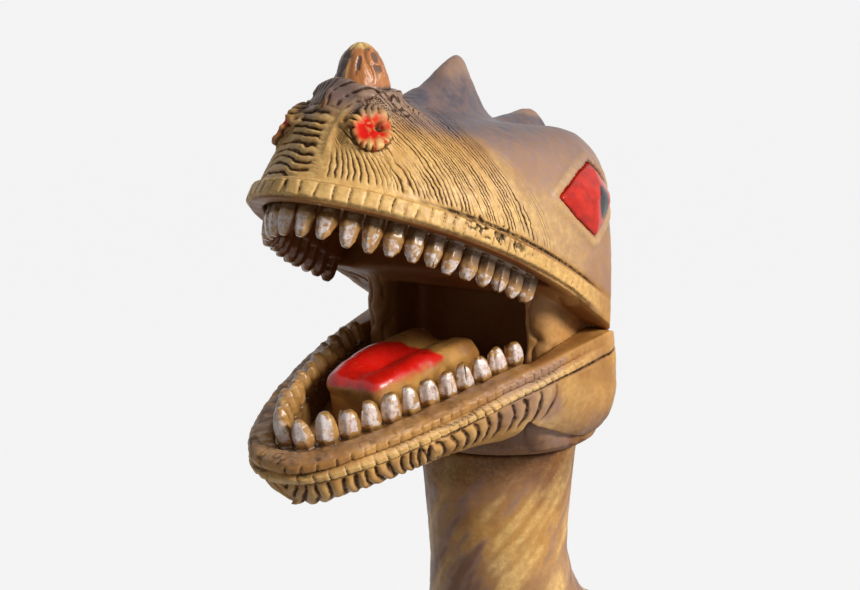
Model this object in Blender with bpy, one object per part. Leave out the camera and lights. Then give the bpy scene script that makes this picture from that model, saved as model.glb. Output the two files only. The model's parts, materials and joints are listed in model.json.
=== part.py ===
"""A toy dinosaur figure in soft vinyl, standing on its two feet and its tail.

The midpoint between the mouth corners is the head's reference point. The skull is laid out along the upper
lip and the jaw along the lower lip: s runs forward from the mouth corner and n stands square to that lip, both
in metres. The figure faces -Y, +X is its left side and +Z is up.
"""

import math

import bmesh
import bpy
import numpy as np
from mathutils import Matrix, Vector

# Fit between pieces
CLEARANCE = 0.0003
OVERRUN = 0.010

# Head
JAW_LENGTH = 0.100
HEAD_HALF_WIDTH = 0.041
SKULL_HEIGHT = 0.055
SKULL_PITCH = 24.2
SNOUT_LEAN = 0.006
MOUTH_HEIGHT = 0.330
LIP_ARCH = 0.0029
LIP_HEIGHT = 0.0058
LIP_PROUD = 0.0012
UPPER_LIP_WALL = 0.0035
PALATE_HEIGHT = 0.0100
CREST_HEIGHT = 0.0178
CREST_HALF_WIDTH = 0.0062
BROW_RISE = 0.0032
NOSTRIL_RISE = 0.0030
NOSTRIL_RADIUS = 0.0060

# Lower jaw
JAW_PITCH = -14.0
LOWER_JAW_LENGTH = 0.0988
JAW_DEPTH = 0.037
JAW_ARCH = 0.0014
LOWER_LIP_WALL = 0.0058
TROUGH_DEPTH = 0.0060

# Throat block between the jaw's two arms, and the nape behind them
THROAT_HALF_WIDTH = 0.032
THROAT_FRONT = 0.0255
THROAT_REAR = 0.029
THROAT_DROP = 0.037
NAPE_HALF_WIDTH = 0.0360
NAPE_HALF_DEPTH = 0.0170
NAPE_BACK = 0.0050
GULLET_HALF_WIDTH = 0.024
GULLET_REAR = 0.002
GULLET_DROP = 0.022

# Jaw hinge
HINGE_BACK = -0.0010
HINGE_DROP = 0.0100
PIN_RADIUS = 0.0025
PIN_LENGTH = 0.0110

# Teeth
UPPER_TOOTH_LENGTH = 0.0105
LOWER_TOOTH_LENGTH = 0.0078
UPPER_TOOTH_PITCH = 0.0057
LOWER_TOOTH_PITCH = 0.0060
TOOTH_THICKNESS = 0.0045
GUM_THICKNESS = 0.0050

# Tongue
TONGUE_HALF_WIDTH = 0.0100
TONGUE_FRONT = 0.0650
TONGUE_REAR = 0.0240
TONGUE_RISE = 0.0070

# Nose horn
HORN_PLACE = 0.0600
HORN_BASE = 0.0665
HORN_RADIUS = 0.0072
HORN_HEIGHT = 0.0120
HORN_STUB_RADIUS = 0.0045
HORN_STUB_DEPTH = 0.0050
MOUND_RADIUS = 0.0115
MOUND_RISE = 0.0040

# Eyes
EYE_BACK = -0.0110
EYE_RISE = 0.0364
EYE_HALF_LENGTH = 0.0140
EYE_HALF_HEIGHT = 0.0096
EYE_BED = 0.0290
EYE_PROUD = 0.0006

# Torso and neck
NECK_TOP_RADIUS = 0.0235
NECK_BACK = 0.0041
BELLY_HALF_WIDTH = 0.0450
BELLY_HALF_DEPTH = 0.0490
BODY_LENGTH = 0.1420
NECK_SEAM = MOUTH_HEIGHT - THROAT_DROP

# Push-in joints: a stem with a wider flange that snaps into a socket
NECK_STEM_RADIUS = 0.0110
NECK_STEM_LENGTH = 0.0040
NECK_FLANGE_RADIUS = 0.0140
NECK_FLANGE_THICKNESS = 0.0030
HIP_STEM_RADIUS = 0.0090
HIP_STEM_LENGTH = 0.0050
HIP_FLANGE_RADIUS = 0.0125
HIP_FLANGE_THICKNESS = 0.0040
SHOULDER_STEM_RADIUS = 0.0045
SHOULDER_STEM_LENGTH = 0.0030
SHOULDER_FLANGE_RADIUS = 0.0065
SHOULDER_FLANGE_THICKNESS = 0.0025
TAIL_STEM_RADIUS = 0.0120
TAIL_STEM_LENGTH = 0.0050
TAIL_FLANGE_RADIUS = 0.0160
TAIL_FLANGE_THICKNESS = 0.0040

# Legs
HIP_BACK = 0.1000
HIP_HEIGHT = 0.1480
HIP_FACE = 0.0455
HIP_PAD_RADIUS = 0.0290
HIP_PAD_DEPTH = 0.0160
THIGH_RADIUS = 0.0340
THIGH_BULGE = 0.0290
SHANK_RADIUS = 0.0290
FOOT_OUT = 0.0150
TOE_LENGTH = 0.0460
TOE_RADIUS = 0.0085

# Arms
SHOULDER_BACK = 0.0200
SHOULDER_HEIGHT = 0.2060
SHOULDER_FACE = 0.0375
SHOULDER_PAD_RADIUS = 0.0115
SHOULDER_PAD_DEPTH = 0.0120
SHOULDER_BULGE = 0.0180
ARM_RADIUS = 0.0090
ARM_OUT = 0.0100
ARM_REACH = 0.0400
FINGER_LENGTH = 0.0130
FINGER_RADIUS = 0.0030

# Tail
TAIL_ROOT_RADIUS = 0.0300
TAIL_ROOT_HEIGHT = 0.1285
TAIL_LENGTH = 0.2910

# Counts
UPPER_TEETH = 13
LOWER_TEETH = 12

# Facets
HEAD_STATIONS = 40
HEAD_ROWS = 8
JAW_STATIONS = 30
JAW_ROWS = 5
STRIP_STATIONS = 30
PEG_ROUND = 6
TURN_ROUND = 16
KNOB_ROUND = 24
BODY_ROUND = 32
BODY_STEPS = 22
TAIL_STEPS = 20
LIMB_ROUND = 14
SHANK_STEPS = 16
TOE_ROUND = 8
TOE_STEPS = 9
FINGER_ROUND = 6
FINGER_STEPS = 6
MOUTH_STEPS = 41
PATH_STEPS = 240
ARM_STEPS = 14
SHARP_ANGLE = 35.0

# Shapes as shares: places along the jaw as shares of its length, heights as shares of the size they belong to
WIDEST_SHARE = 0.03
SNOUT_ROUNDING_SHARES = (2.78, 1.755)
NAPE_ROUNDING_SHARE = 1.3
LOBE_ROUNDING_SHARE = 1.8
JAW_REAR_SHARE = -0.20
CORNER_SHARE = 0.034
JAW_ROUNDING_SHARES = (1.11, 2.32)
ROOF_SHARES = (
    (-0.33, 0.90), (-0.20, 0.985), (-0.08, 1.0), (0.0, 0.965), (0.21, 0.88), (0.40, 0.81),
    (0.63, 0.70), (0.80, 0.60), (0.93, 0.55), (1.0, 0.52),
)
REAR_SHARES = ((0.0, -0.33), (0.55, -0.275), (0.8, -0.22), (1.0, -0.14))
SECTION_SHARES = ((-0.33, 2.3), (0.0, 3.2), (0.20, 3.6), (0.40, 3.0), (0.60, 2.4), (0.80, 2.2), (1.0, 2.3))
CREST_SHARES = (
    (-0.30, 0.10), (-0.129, 0.20), (-0.049, 0.22), (0.02, 0.46), (0.056, 0.60), (0.09, 0.48), (0.18, 0.24),
    (0.261, 0.19), (0.33, 0.36), (0.397, 0.74), (0.44, 0.96), (0.474, 1.0), (0.51, 0.80), (0.552, 0.52),
    (0.62, 0.28), (0.68, 0.06), (0.72, 0.0),
)
JAW_DEPTH_SHARES = (
    (-0.20, 1.0), (0.03, 1.0), (0.12, 0.95), (0.20, 0.84), (0.376, 0.60), (0.50, 0.52), (0.70, 0.45),
    (0.85, 0.42), (0.92, 0.41), (0.988, 0.33),
)
JAW_SECTION_SHARES = ((-0.20, 3.2), (0.2, 3.6), (0.4, 3.3), (0.7, 3.0), (1.0, 3.0))
CHIN_RETREAT_SHARE = 0.06
BAND_SHARES = (0.0, 0.12, 0.88, 1.0)
CREST_ROW_SHARES = (0.66, 0.40, 0.18)
BROW_SHARES = (0.20, 0.20, 0.60, 0.28)
NOSTRIL_SHARES = (0.30, 0.905, 0.74)
NOSTRIL_TURN = 50.0
NOSTRIL_LIFT_SHARE = 0.15
SKULL_CORE_SHARE = 0.3
CAVITY_REAR_SHARE = 0.30
CAVITY_DROP_SHARE = 0.25
FLOOR_REAR_SHARE = 0.30
CHEEK_POWER = 9.0
NAPE_POWER = 1.7
THROAT_ROUNDING_SHARE = 1 / 3
THROAT_SHARES = ((1.0, 0.0), (0.965, 0.45), (0.90, 0.85), (0.70, 1.0), (0.27, 1.0), (-0.1, 1.0), (-0.45, 0.9))
NAPE_SHARES = ((0.95, 0.0), (0.85, 0.25), (0.65, 0.65), (0.40, 0.93), (0.1, 1.0), (-0.35, 1.0))
LOBE_TURN = -8.0
LOBE_SHARES = (
    (0.093, -0.15), (0.108, -0.20), (0.115, -0.26), (0.108, -0.31), (0.092, -0.345), (0.085, -0.40),
)
RAMUS_REACH_SHARE = 1.2
PIN_CHAMFER_SHARE = 0.2
EYE_SHARES = (
    (-1.0, 0.18), (-0.60, -0.38), (0.02, -1.0), (0.35, -0.62), (0.85, -0.15), (0.90, 0.15), (0.68, 0.55),
    (0.42, 0.98), (-0.13, 0.74), (-0.60, 0.45),
)
HORN_SHARES = ((1.08, 0.0), (1.05, 0.12), (0.95, 0.35), (0.80, 0.58), (0.60, 0.80), (0.38, 0.93), (0.14, 1.0))
TONGUE_SHARES = (
    (0.0, 1.15, 0.72), (0.25, 1.1, 0.86), (0.55, 1.02, 0.97), (0.85, 0.92, 1.0), (0.97, 0.82, 0.97),
    (1.0, 0.7, 0.86),
)
TONGUE_SECTION_SHARES = ((1.0, 0.0), (1.05, 0.6), (0.9, 0.97), (0.5, 1.0))
TOOTH_SHARES = ((0.0, 1.0), (0.55, 1.0), (0.85, 0.80), (1.0, 0.42))
TOOTH_WIDTH_SHARE = 0.92
TOOTH_SINK_SHARE = 1 / 3
UPPER_LAST_SHARE = 0.62
LOWER_LAST_SHARE = 0.85
PATH_CROWDING_SHARE = 0.8
PATH_TIP_SHARE = 0.1
PAD_SHARES = ((1.25, 1.0), (1.08, 0.35), (1.0, 0.1), (1.0, 0.0))
TAIL_LAP_SHARES = ((1.0, 0.0), (0.96, 0.2))
BODY_SHARES = (
    (0.029, 1.030, 0.529, 0.486),
    (0.030, 0.909, 0.484, 0.445),
    (0.035, 0.775, 0.456, 0.418),
    (0.070, 0.653, 0.556, 0.500),
    (0.148, 0.532, 0.711, 0.673),
    (0.275, 0.410, 0.867, 0.857),
    (0.423, 0.301, 0.978, 1.000),
    (0.585, 0.204, 1.000, 1.000),
    (0.746, 0.119, 0.933, 0.878),
    (0.887, 0.052, 0.778, 0.724),
    (1.000, 0.000, 0.667, 0.612),
)
TAIL_SHARES = (
    (0.076, 0.907, 0.873),
    (0.165, 0.786, 0.750),
    (0.285, 0.611, 0.617),
    (0.405, 0.436, 0.500),
    (0.526, 0.284, 0.400),
    (0.646, 0.163, 0.317),
    (0.766, 0.082, 0.250),
    (0.869, 0.043, 0.190),
    (0.955, 0.025, 0.127),
    (1.000, 0.020, 0.067),
)
DOME_SHARES = ((0.97, 0.0), (1.0, 0.12), (0.98, 0.35), (0.90, 0.58), (0.74, 0.80), (0.50, 0.94), (0.20, 1.0))
SHANK_SHARES = (
    (0.93, 0.960, 0.959, 0.466, 1.000),
    (0.97, 0.830, 0.797, 0.500, 0.931),
    (1.00, 0.720, 0.649, 0.483, 0.759),
    (1.00, 0.740, 0.514, 0.431, 0.603),
    (1.00, 0.880, 0.392, 0.379, 0.483),
    (1.00, 1.000, 0.270, 0.362, 0.431),
    (1.00, 0.960, 0.162, 0.379, 0.431),
    (1.00, 0.860, 0.074, 0.431, 0.431),
)
TOE_SPREAD_SHARES = ((0.0, 1.0), (22.0, 0.86), (-22.0, 0.86))
TOE_SHARES = (
    (0.0, 1.15, 1.25), (0.25, 1.0, 1.08), (0.5, 0.92, 0.98), (0.75, 0.95, 1.05), (0.95, 0.88, 0.90),
    (1.0, 0.80, 0.55), (1.15, 0.66, 0.42), (1.3, 0.30, 0.20),
)
ARM_SHARES = (
    (0.90, 0.050, 0.100, 0.889, 1.000),
    (0.95, 0.125, 0.400, 0.867, 0.944),
    (1.00, 0.225, 0.675, 0.833, 0.889),
    (1.00, 0.450, 0.850, 0.778, 0.800),
    (1.00, 0.750, 0.900, 0.711, 0.689),
    (1.00, 1.000, 0.900, 0.689, 0.644),
)
FINGER_SPREAD_SHARES = ((-24.0, 0.0), (0.0, 0.25), (24.0, 0.0))
FINGER_SHARES = (
    (-0.3, 0.05, 1.1), (0.05, 0.0, 1.25), (0.3, -0.02, 1.05), (0.6, -0.10, 0.95), (0.78, -0.22, 0.7),
    (1.0, -0.50, 0.25),
)

# Colours
SKIN = (0.62, 0.42, 0.19)
HORN_COLOUR = (0.55, 0.27, 0.10)
TOOTH_COLOUR = (0.78, 0.66, 0.50)
RED = (0.72, 0.03, 0.02)
PIN_COLOUR = (0.30, 0.28, 0.26)

# How rough each finish is, as a share of fully matt
MATTE_SHARE = 0.55
SATIN_SHARE = 0.45
GLOSS_SHARE = 0.30
WET_SHARE = 0.15


def clear_scene():
    """Removes what the start-up file holds."""
    for old in list(bpy.data.objects):
        bpy.data.objects.remove(old)


def coated(obj, colour, roughness):
    """Gives an object its own plain vinyl material, and smooth shading between its sharp edges."""
    material = bpy.data.materials.new(obj.name + "_finish")
    material.use_nodes = True
    shader = material.node_tree.nodes["Principled BSDF"]
    shader.inputs["Base Color"].default_value = (*colour, 1.0)
    shader.inputs["Roughness"].default_value = roughness
    shader.inputs["Metallic"].default_value = 0.0
    obj.data.materials.clear()
    obj.data.materials.append(material)
    obj.data.shade_smooth()
    obj.data.set_sharp_from_angle(angle=math.radians(SHARP_ANGLE))
    return obj


def made(name, verts, faces):
    """An object from points and faces, with its faces turned outwards."""
    mesh = bpy.data.meshes.new(name)
    mesh.from_pydata([tuple(map(float, v)) for v in verts], [], faces)
    shape = bmesh.new()
    shape.from_mesh(mesh)
    bmesh.ops.recalc_face_normals(shape, faces=shape.faces)
    if shape.calc_volume(signed=True) < 0:
        bmesh.ops.reverse_faces(shape, faces=shape.faces)
    shape.to_mesh(mesh)
    shape.free()
    obj = bpy.data.objects.new(name, mesh)
    bpy.context.scene.collection.objects.link(obj)
    return obj


def combined(target, tool, operation):
    """Applies an exact Boolean to target and removes the tool."""
    modifier = target.modifiers.new(operation.lower(), "BOOLEAN")
    modifier.operation = operation
    modifier.solver = "EXACT"
    modifier.object = tool
    graph = bpy.context.evaluated_depsgraph_get()
    mesh = bpy.data.meshes.new_from_object(target.evaluated_get(graph))
    target.modifiers.clear()
    target.data = mesh
    bpy.data.objects.remove(tool)
    return target


def cut(target, *tools):
    """Cuts each tool out of target."""
    for tool in tools:
        combined(target, tool, "DIFFERENCE")
    return target


def joined(target, *others):
    """Grows target together with each of the others."""
    for other in others:
        combined(target, other, "UNION")
    return target


def mirrored(obj, name, colour, roughness):
    """The right-hand twin of a left-hand piece."""
    mesh = obj.data.copy()
    mesh.transform(Matrix.Scale(-1, 4, (1, 0, 0)))
    mesh.flip_normals()
    twin = bpy.data.objects.new(name, mesh)
    bpy.context.scene.collection.objects.link(twin)
    return coated(twin, colour, roughness)


def curve_value(table, at):
    """A smooth curve through a table of (place, value) pairs, read at one or more places."""
    places, values = (np.array(column, float) for column in zip(*table))
    slopes = np.gradient(values, places)
    at = np.clip(np.asarray(at, float), places[0], places[-1])
    left = np.clip(np.searchsorted(places, at, side="right") - 1, 0, len(places) - 2)
    span = places[left + 1] - places[left]
    t = (at - places[left]) / span
    return (
        values[left] * (1 + 2 * t) * (1 - t) ** 2
        + slopes[left] * span * t * (1 - t) ** 2
        + values[left + 1] * t * t * (3 - 2 * t)
        + slopes[left + 1] * span * t * t * (t - 1)
    )


def straight_value(table, at):
    """A line from point to point through a table of (place, value) pairs."""
    places, values = zip(*table)
    return np.interp(at, places, values)


def smooth_rows(rows, count):
    """Rows of numbers, spread evenly along a smooth curve through the given ones."""
    rows = np.array(rows, float)
    steps = np.arange(len(rows))
    places = np.linspace(0, len(rows) - 1, count)
    columns = [curve_value(list(zip(steps, column)), places) for column in rows.T]
    return np.stack(columns, axis=1)


def tilted(pitch, x, s, n):
    """A point of the skull's or the jaw's own frame, in the figure's frame."""
    a = math.radians(pitch)
    y = -s * math.cos(a) + n * math.sin(a)
    z = s * math.sin(a) + n * math.cos(a) + MOUTH_HEIGHT
    return np.stack(np.broadcast_arrays(x, y, z), axis=-1)


def skull_frame(x, s, n):
    return tilted(SKULL_PITCH, x, s, n)


def jaw_frame(x, s, n):
    return tilted(JAW_PITCH, x, s, n)


def snout_outline(s, widest, front, rear):
    """Half width of the skull's plan outline at s, as a share of the widest."""
    ahead = np.clip((s - widest) / (front - widest), 0, 1)
    behind = np.clip((widest - s) / (widest - rear), 0, 1)
    fore, aft = SNOUT_ROUNDING_SHARES
    nape = NAPE_ROUNDING_SHARE
    return np.where(s >= widest, (1 - ahead**fore) ** (1 / aft), (1 - behind**nape) ** (1 / nape))


def lip_line(s):
    """How far the upper lip arches above the straight line from the mouth corner to the tip."""
    share = np.clip(s / JAW_LENGTH, 0, 1)
    return LIP_ARCH * 4 * share * (1 - share)


def jaw_lip_line(s):
    """How far the lower lip arches above the straight line from the mouth corner to the tip."""
    corner = LOWER_JAW_LENGTH * CORNER_SHARE
    share = np.clip((s - corner) / (LOWER_JAW_LENGTH - corner), 0, 1)
    return JAW_ARCH * 4 * share * (1 - share)


def lip_heights(line, top, rows):
    """Row heights as shares of the wall: four for the lip's band, then rows that crowd towards the top."""
    low = np.array(BAND_SHARES) * LIP_HEIGHT / (top - line)
    start = math.asin(min(1.0, low[-1]))
    high = np.sin(np.linspace(start, math.pi / 2, rows + 1))[1:]
    return np.concatenate([low, high])


def crest_heights(heights, power):
    """The same row heights with more rows just below the top one, for the crest's flanks."""
    last = (1 - heights[-2] ** power) ** (1 / power)
    close = [(1 - (last * out) ** power) ** (1 / power) for out in CREST_ROW_SHARES]
    return np.concatenate([heights[:-1], close, heights[-1:]])


def proud_lip(x, s, row):
    """Moves the two rows of the lip's band outwards, less and less towards the mouth corner."""
    if row in (1, 2):
        share = max(0.0, s / JAW_LENGTH)
        x *= 1 + LIP_PROUD / HEAD_HALF_WIDTH * min(1.0, share * 4)
        s += LIP_PROUD * share**4
    return x, s


def skull_surface(stations, rows, swell=0.0):
    """The skull's outer surface above the lip on the +X side, as points [station][row], rear to front."""
    grid = []
    for place in (1 - np.cos(np.linspace(0, math.pi, stations + 1))) / 2:
        column = []
        guess = (REAR_SHARES[0][1] + (1 - REAR_SHARES[0][1]) * place) * JAW_LENGTH
        roof = SKULL_HEIGHT * curve_value(ROOF_SHARES, guess / JAW_LENGTH)
        heights = lip_heights(lip_line(guess), roof, rows)
        for row, up in enumerate(crest_heights(heights, curve_value(SECTION_SHARES, guess / JAW_LENGTH))):
            front = JAW_LENGTH - SNOUT_LEAN * up
            rear = JAW_LENGTH * curve_value(REAR_SHARES, up)
            s = rear + (front - rear) * place
            share = s / JAW_LENGTH
            roof = SKULL_HEIGHT * curve_value(ROOF_SHARES, share)
            power = curve_value(SECTION_SHARES, share)
            out = max(0.0, 1 - up**power) ** (1 / power)
            widest = JAW_LENGTH * WIDEST_SHARE + roof * up * math.tan(math.radians(SKULL_PITCH))
            x = HEAD_HALF_WIDTH * float(snout_outline(s, widest, front, rear)) * out
            n = lip_line(s) + (roof - lip_line(s)) * up
            x, along = proud_lip(x, s, row)
            column.append(shaped_skull(np.array([x, along, n]), roof, swell))
        grid.append(column)
    return grid


def shaped_skull(point, roof, swell):
    """Adds the crest, brow, horn mound and nostril bump to a point of the plain skull."""
    x, s, n = point
    share = s / JAW_LENGTH
    top = max(0.0, n / roof) ** 4
    n += CREST_HEIGHT * straight_value(CREST_SHARES, share) * math.exp(-((x / CREST_HALF_WIDTH) ** 2)) * top
    horn_s, horn_n = horn_in_skull()
    away = math.hypot(x, s - horn_s) / MOUND_RADIUS
    n += MOUND_RISE * math.exp(-(away**4)) * top
    brow = math.exp(-(((share - BROW_SHARES[0]) / BROW_SHARES[1]) ** 2))
    brow *= math.exp(-(((x / HEAD_HALF_WIDTH - BROW_SHARES[2]) / BROW_SHARES[3]) ** 2))
    n += BROW_RISE * brow * top**0.5
    nose = np.array(NOSTRIL_SHARES) * (HEAD_HALF_WIDTH, JAW_LENGTH, roof)
    reach = np.linalg.norm(np.array([x, s, n]) - nose) / NOSTRIL_RADIUS
    turn = math.radians(NOSTRIL_TURN)
    outward = np.array([math.sin(turn), math.cos(turn), NOSTRIL_LIFT_SHARE])
    point = np.array([x, s, n]) + outward * NOSTRIL_RISE * math.exp(-(reach**4)) * (x > 0)
    if swell:
        core = np.array([0.0, s, roof * SKULL_CORE_SHARE])
        point = point + swell * (point - core) / max(np.linalg.norm(point - core), CLEARANCE)
    return point


def horn_in_skull():
    """The horn's base centre in the skull's own frame."""
    a = math.radians(SKULL_PITCH)
    y, z = -HORN_PLACE, HORN_BASE
    return -y * math.cos(a) + z * math.sin(a), y * math.sin(a) + z * math.cos(a)


def jaw_surface(stations, rows):
    """The lower jaw's outer surface below the lip on the +X side, rear to front."""
    grid = []
    rear = JAW_REAR_SHARE * JAW_LENGTH
    for place in (1 - np.cos(np.linspace(0, math.pi, stations + 1))) / 2:
        column = []
        guess = rear + (LOWER_JAW_LENGTH - rear) * place
        deepest = JAW_DEPTH * curve_value(JAW_DEPTH_SHARES, guess / JAW_LENGTH)
        for row, down in enumerate(lip_heights(0.0, deepest, rows)):
            retreat = LOWER_JAW_LENGTH * CHIN_RETREAT_SHARE * down**2
            s = rear + (LOWER_JAW_LENGTH - retreat - rear) * place
            depth = JAW_DEPTH * curve_value(JAW_DEPTH_SHARES, s / JAW_LENGTH)
            power = curve_value(JAW_SECTION_SHARES, s / JAW_LENGTH)
            out = max(0.0, 1 - down**power) ** (1 / power)
            plan = s * LOWER_JAW_LENGTH / (LOWER_JAW_LENGTH - retreat) if s > 0 else s
            x = HEAD_HALF_WIDTH * float(jaw_outline(plan, rear)) * out
            n = jaw_lip_line(s) - (depth + jaw_lip_line(s)) * down
            x, along = proud_lip(x, s, row)
            column.append(np.array([x, along, n]))
        grid.append(column)
    return grid


def jaw_outline(s, rear):
    """Half width of the lower jaw's plan outline at s, as a share of the widest."""
    widest = JAW_LENGTH * WIDEST_SHARE
    ahead = np.clip(s / LOWER_JAW_LENGTH, 0, 1)
    behind = np.clip((widest - s) / (widest - rear), 0, 1)
    fore, aft = JAW_ROUNDING_SHARES
    end = LOBE_ROUNDING_SHARE
    return (1 - ahead**fore) ** (1 / aft) * (1 - behind**end) ** (1 / end)


def two_sided(name, grid, frame):
    """A closed solid from one side's surface: the other side mirrored, and the open rim closed across."""
    verts, right, left = [], [], []
    last_row = len(grid[0]) - 1
    for i, column in enumerate(grid):
        right.append([])
        left.append([])
        for j, (x, s, n) in enumerate(column):
            middle = i in (0, len(grid) - 1) or j == last_row
            right[-1].append(len(verts))
            verts.append(frame(0.0 if middle else x, s, n))
            if not middle:
                verts.append(frame(-x, s, n))
            left[-1].append(len(verts) - 1)
    faces = []
    for i in range(len(grid) - 1):
        faces.append(plain_face(right[i][0], right[i + 1][0], left[i + 1][0], left[i][0]))
        for j in range(last_row):
            for side in (right, left):
                faces.append(plain_face(side[i][j], side[i + 1][j], side[i + 1][j + 1], side[i][j + 1]))
    return made(name, verts, [face for face in faces if len(face) > 2])


def plain_face(*corners):
    """The corners of a face with repeated ones left out."""
    return [c for k, c in enumerate(corners) if c != corners[k - 1]]


def loft(name, rings):
    """A closed solid through rings of equally many points, with flat ends."""
    count = len(rings[0])
    verts = [point for ring in rings for point in ring]
    faces = [list(range(count)), list(range(len(verts) - count, len(verts)))]
    for i in range(len(rings) - 1):
        for j in range(count):
            a, b = i * count + j, i * count + (j + 1) % count
            faces.append([a, b, b + count, a + count])
    return made(name, verts, faces)


def oval(centre, across, upward, half_across, half_up, count, power=2.0):
    """A ring of points: an ellipse, or a squarer oval for a power above two."""
    ring = []
    for turn in np.arange(count) * 2 * math.pi / count:
        c, s = math.cos(turn), math.sin(turn)
        ring.append(
            np.array(centre)
            + np.array(across) * half_across * math.copysign(abs(c) ** (2 / power), c)
            + np.array(upward) * half_up * math.copysign(abs(s) ** (2 / power), s)
        )
    return ring


def swept(name, rows, steps, count, power=2.0):
    """A tube along rows of (x, y, z, half width, half depth), smoothed to the given number of rings."""
    rows = smooth_rows(rows, steps)
    centres = rows[:, :3]
    tangents = np.gradient(centres, axis=0)
    rings = []
    for (x, y, z, half_width, half_depth), tangent in zip(rows, tangents):
        along = tangent / np.linalg.norm(tangent)
        across = np.array([1.0, 0.0, 0.0]) - along[0] * along
        across /= np.linalg.norm(across)
        rings.append(oval((x, y, z), across, np.cross(along, across), half_width, half_depth, count, power))
    return loft(name, rings)


def turned(name, profile, base, axis, count=TURN_ROUND):
    """A solid of revolution: (radius, height) pairs about an axis through base, closed at both ends."""
    turn = Vector((0, 0, 1)).rotation_difference(Vector(axis)).to_matrix()
    rings = []
    for radius, height in profile:
        ring = oval((0, 0, height), (1, 0, 0), (0, 1, 0), radius, radius, count)
        rings.append([np.array(turn @ Vector(p)) + np.array(base) for p in ring])
    return loft(name, rings)


def prism(name, corners, low, high):
    """A straight prism along X from low to high over a polygon of (y, z) corners."""
    rings = [[np.array([x, y, z]) for y, z in corners] for x in (low, high)]
    return loft(name, rings)


def box(name, low, high):
    """A plain block between two corners."""
    corners = ((low[1], low[2]), (high[1], low[2]), (high[1], high[2]), (low[1], high[2]))
    return prism(name, corners, low[0], high[0])


def snap_knob(name, base, axis, stem, length, flange, thickness, root):
    """A stem and flange that stand on base along axis, rooted below it."""
    profile = ((stem, -root), (stem, length), (flange, length), (flange, length + thickness))
    return turned(name, profile, base, axis, KNOB_ROUND)


def snap_socket(name, base, axis, stem, length, flange, thickness):
    """The pocket that a snap knob turns in, with clearance all round."""
    gap = CLEARANCE
    profile = (
        (stem + gap, -OVERRUN),
        (stem + gap, length - gap),
        (flange + gap, length - gap),
        (flange + gap, length + thickness + gap),
    )
    return turned(name, profile, base, axis, KNOB_ROUND)


def lip_path(outline, length, inset, rear):
    """Distances and points (x, s) along a lip outline moved inwards, from rear on -X round to rear on +X."""
    s = rear + (length - rear) * np.sin(np.linspace(0, math.pi / 2, PATH_STEPS)) ** PATH_CROWDING_SHARE
    line = np.stack([HEAD_HALF_WIDTH * outline(s), s], 1)
    heading = np.gradient(line, axis=0)
    heading /= np.linalg.norm(heading, axis=1, keepdims=True)
    line = line - inset * np.stack([heading[:, 1], -heading[:, 0]], 1)
    line = line[line[:, 0] > 0]
    tip = np.array([[0.0, line[-1, 1] + line[-1, 0] * PATH_TIP_SHARE]])
    line = np.concatenate([line * (-1, 1), tip, line[::-1]])
    gone = np.concatenate([[0], np.cumsum(np.linalg.norm(np.diff(line, axis=0), axis=1))])
    return gone, line


def upper_outline(s):
    """Half width of the upper lip as a share of the widest, straight behind the mouth corner."""
    widest = JAW_LENGTH * WIDEST_SHARE
    return snout_outline(np.maximum(s, widest), widest, JAW_LENGTH, -JAW_LENGTH)


def lower_outline(s):
    """Half width of the lower lip as a share of the widest, straight behind the mouth corner."""
    return jaw_outline(np.maximum(s, JAW_LENGTH * WIDEST_SHARE), -JAW_LENGTH)


def on_path(path, distance):
    """The point and heading at a distance along a path."""
    gone, line = path
    places = distance + np.array([-CLEARANCE, 0.0, CLEARANCE])
    before, point, after = np.stack([np.interp(places, gone, line[:, k]) for k in range(2)], axis=1)
    return point, (after - before) / np.linalg.norm(after - before)


def band(name, outline, length, outer, inner, reach, low, high, frame):
    """A U-shaped strip that follows a lip, between two insets and two heights, reach back from the tip."""
    rings = []
    outer_path = lip_path(outline, length, outer, 0.0)
    inner_path = lip_path(outline, length, inner, 0.0)
    middle = outer_path[0][-1] / 2
    for share in np.linspace(-1, 1, STRIP_STATIONS):
        (x1, s1), _ = on_path(outer_path, middle + share * reach)
        shorter = inner_path[0][-1] / outer_path[0][-1]
        (x2, s2), _ = on_path(inner_path, inner_path[0][-1] / 2 + share * reach * shorter)
        rings.append([frame(x1, s1, low), frame(x1, s1, high), frame(x2, s2, high), frame(x2, s2, low)])
    return loft(name, rings)


def tooth(point, heading, length, sink, height, pitch, frame):
    """Rings of one flattened, rounded peg tooth, square to its lip. One with a negative length hangs."""
    outward = np.array([-heading[1], heading[0]])
    rings = []
    for up, wide in TOOTH_SHARES:
        n = height + math.copysign(1, length) * ((abs(length) + sink) * up - sink)
        centre = frame(point[0], point[1], n)
        along = frame(point[0] + heading[0], point[1] + heading[1], n) - centre
        across = frame(point[0] + outward[0], point[1] + outward[1], n) - centre
        along /= np.linalg.norm(along)
        across /= np.linalg.norm(across)
        half_width = pitch * TOOTH_WIDTH_SHARE / 2 * wide
        rings.append(oval(centre, along, across, half_width, TOOTH_THICKNESS / 2 * wide, PEG_ROUND))
    return rings


def tooth_row(name, outline, length, inset, count, pitch, last, gums, frame, tooth_length):
    """A gum strip and its teeth as one casting. last is the rearmost tooth's share of the length."""
    path = lip_path(outline, length, inset, 0.0)
    middle = path[0][-1] / 2
    half = GUM_THICKNESS / 2
    root = gums[0] if tooth_length < 0 else gums[1]
    strip = band(name, outline, length, inset - half, inset + half, pitch * count, *gums, frame)
    for side in (-1, 1):
        for k in range(count):
            point, heading = on_path(path, middle + side * pitch * (k + 0.5))
            shrink = 1 - (1 - last) * k / count
            sink = LIP_HEIGHT * TOOTH_SINK_SHARE
            joined(strip, loft("peg", tooth(point, heading, tooth_length * shrink, sink, root, pitch, frame)))
    return strip


def build_skull(swell=0.0):
    return two_sided("upper_head", skull_surface(HEAD_STATIONS, HEAD_ROWS, swell), skull_frame)


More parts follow.
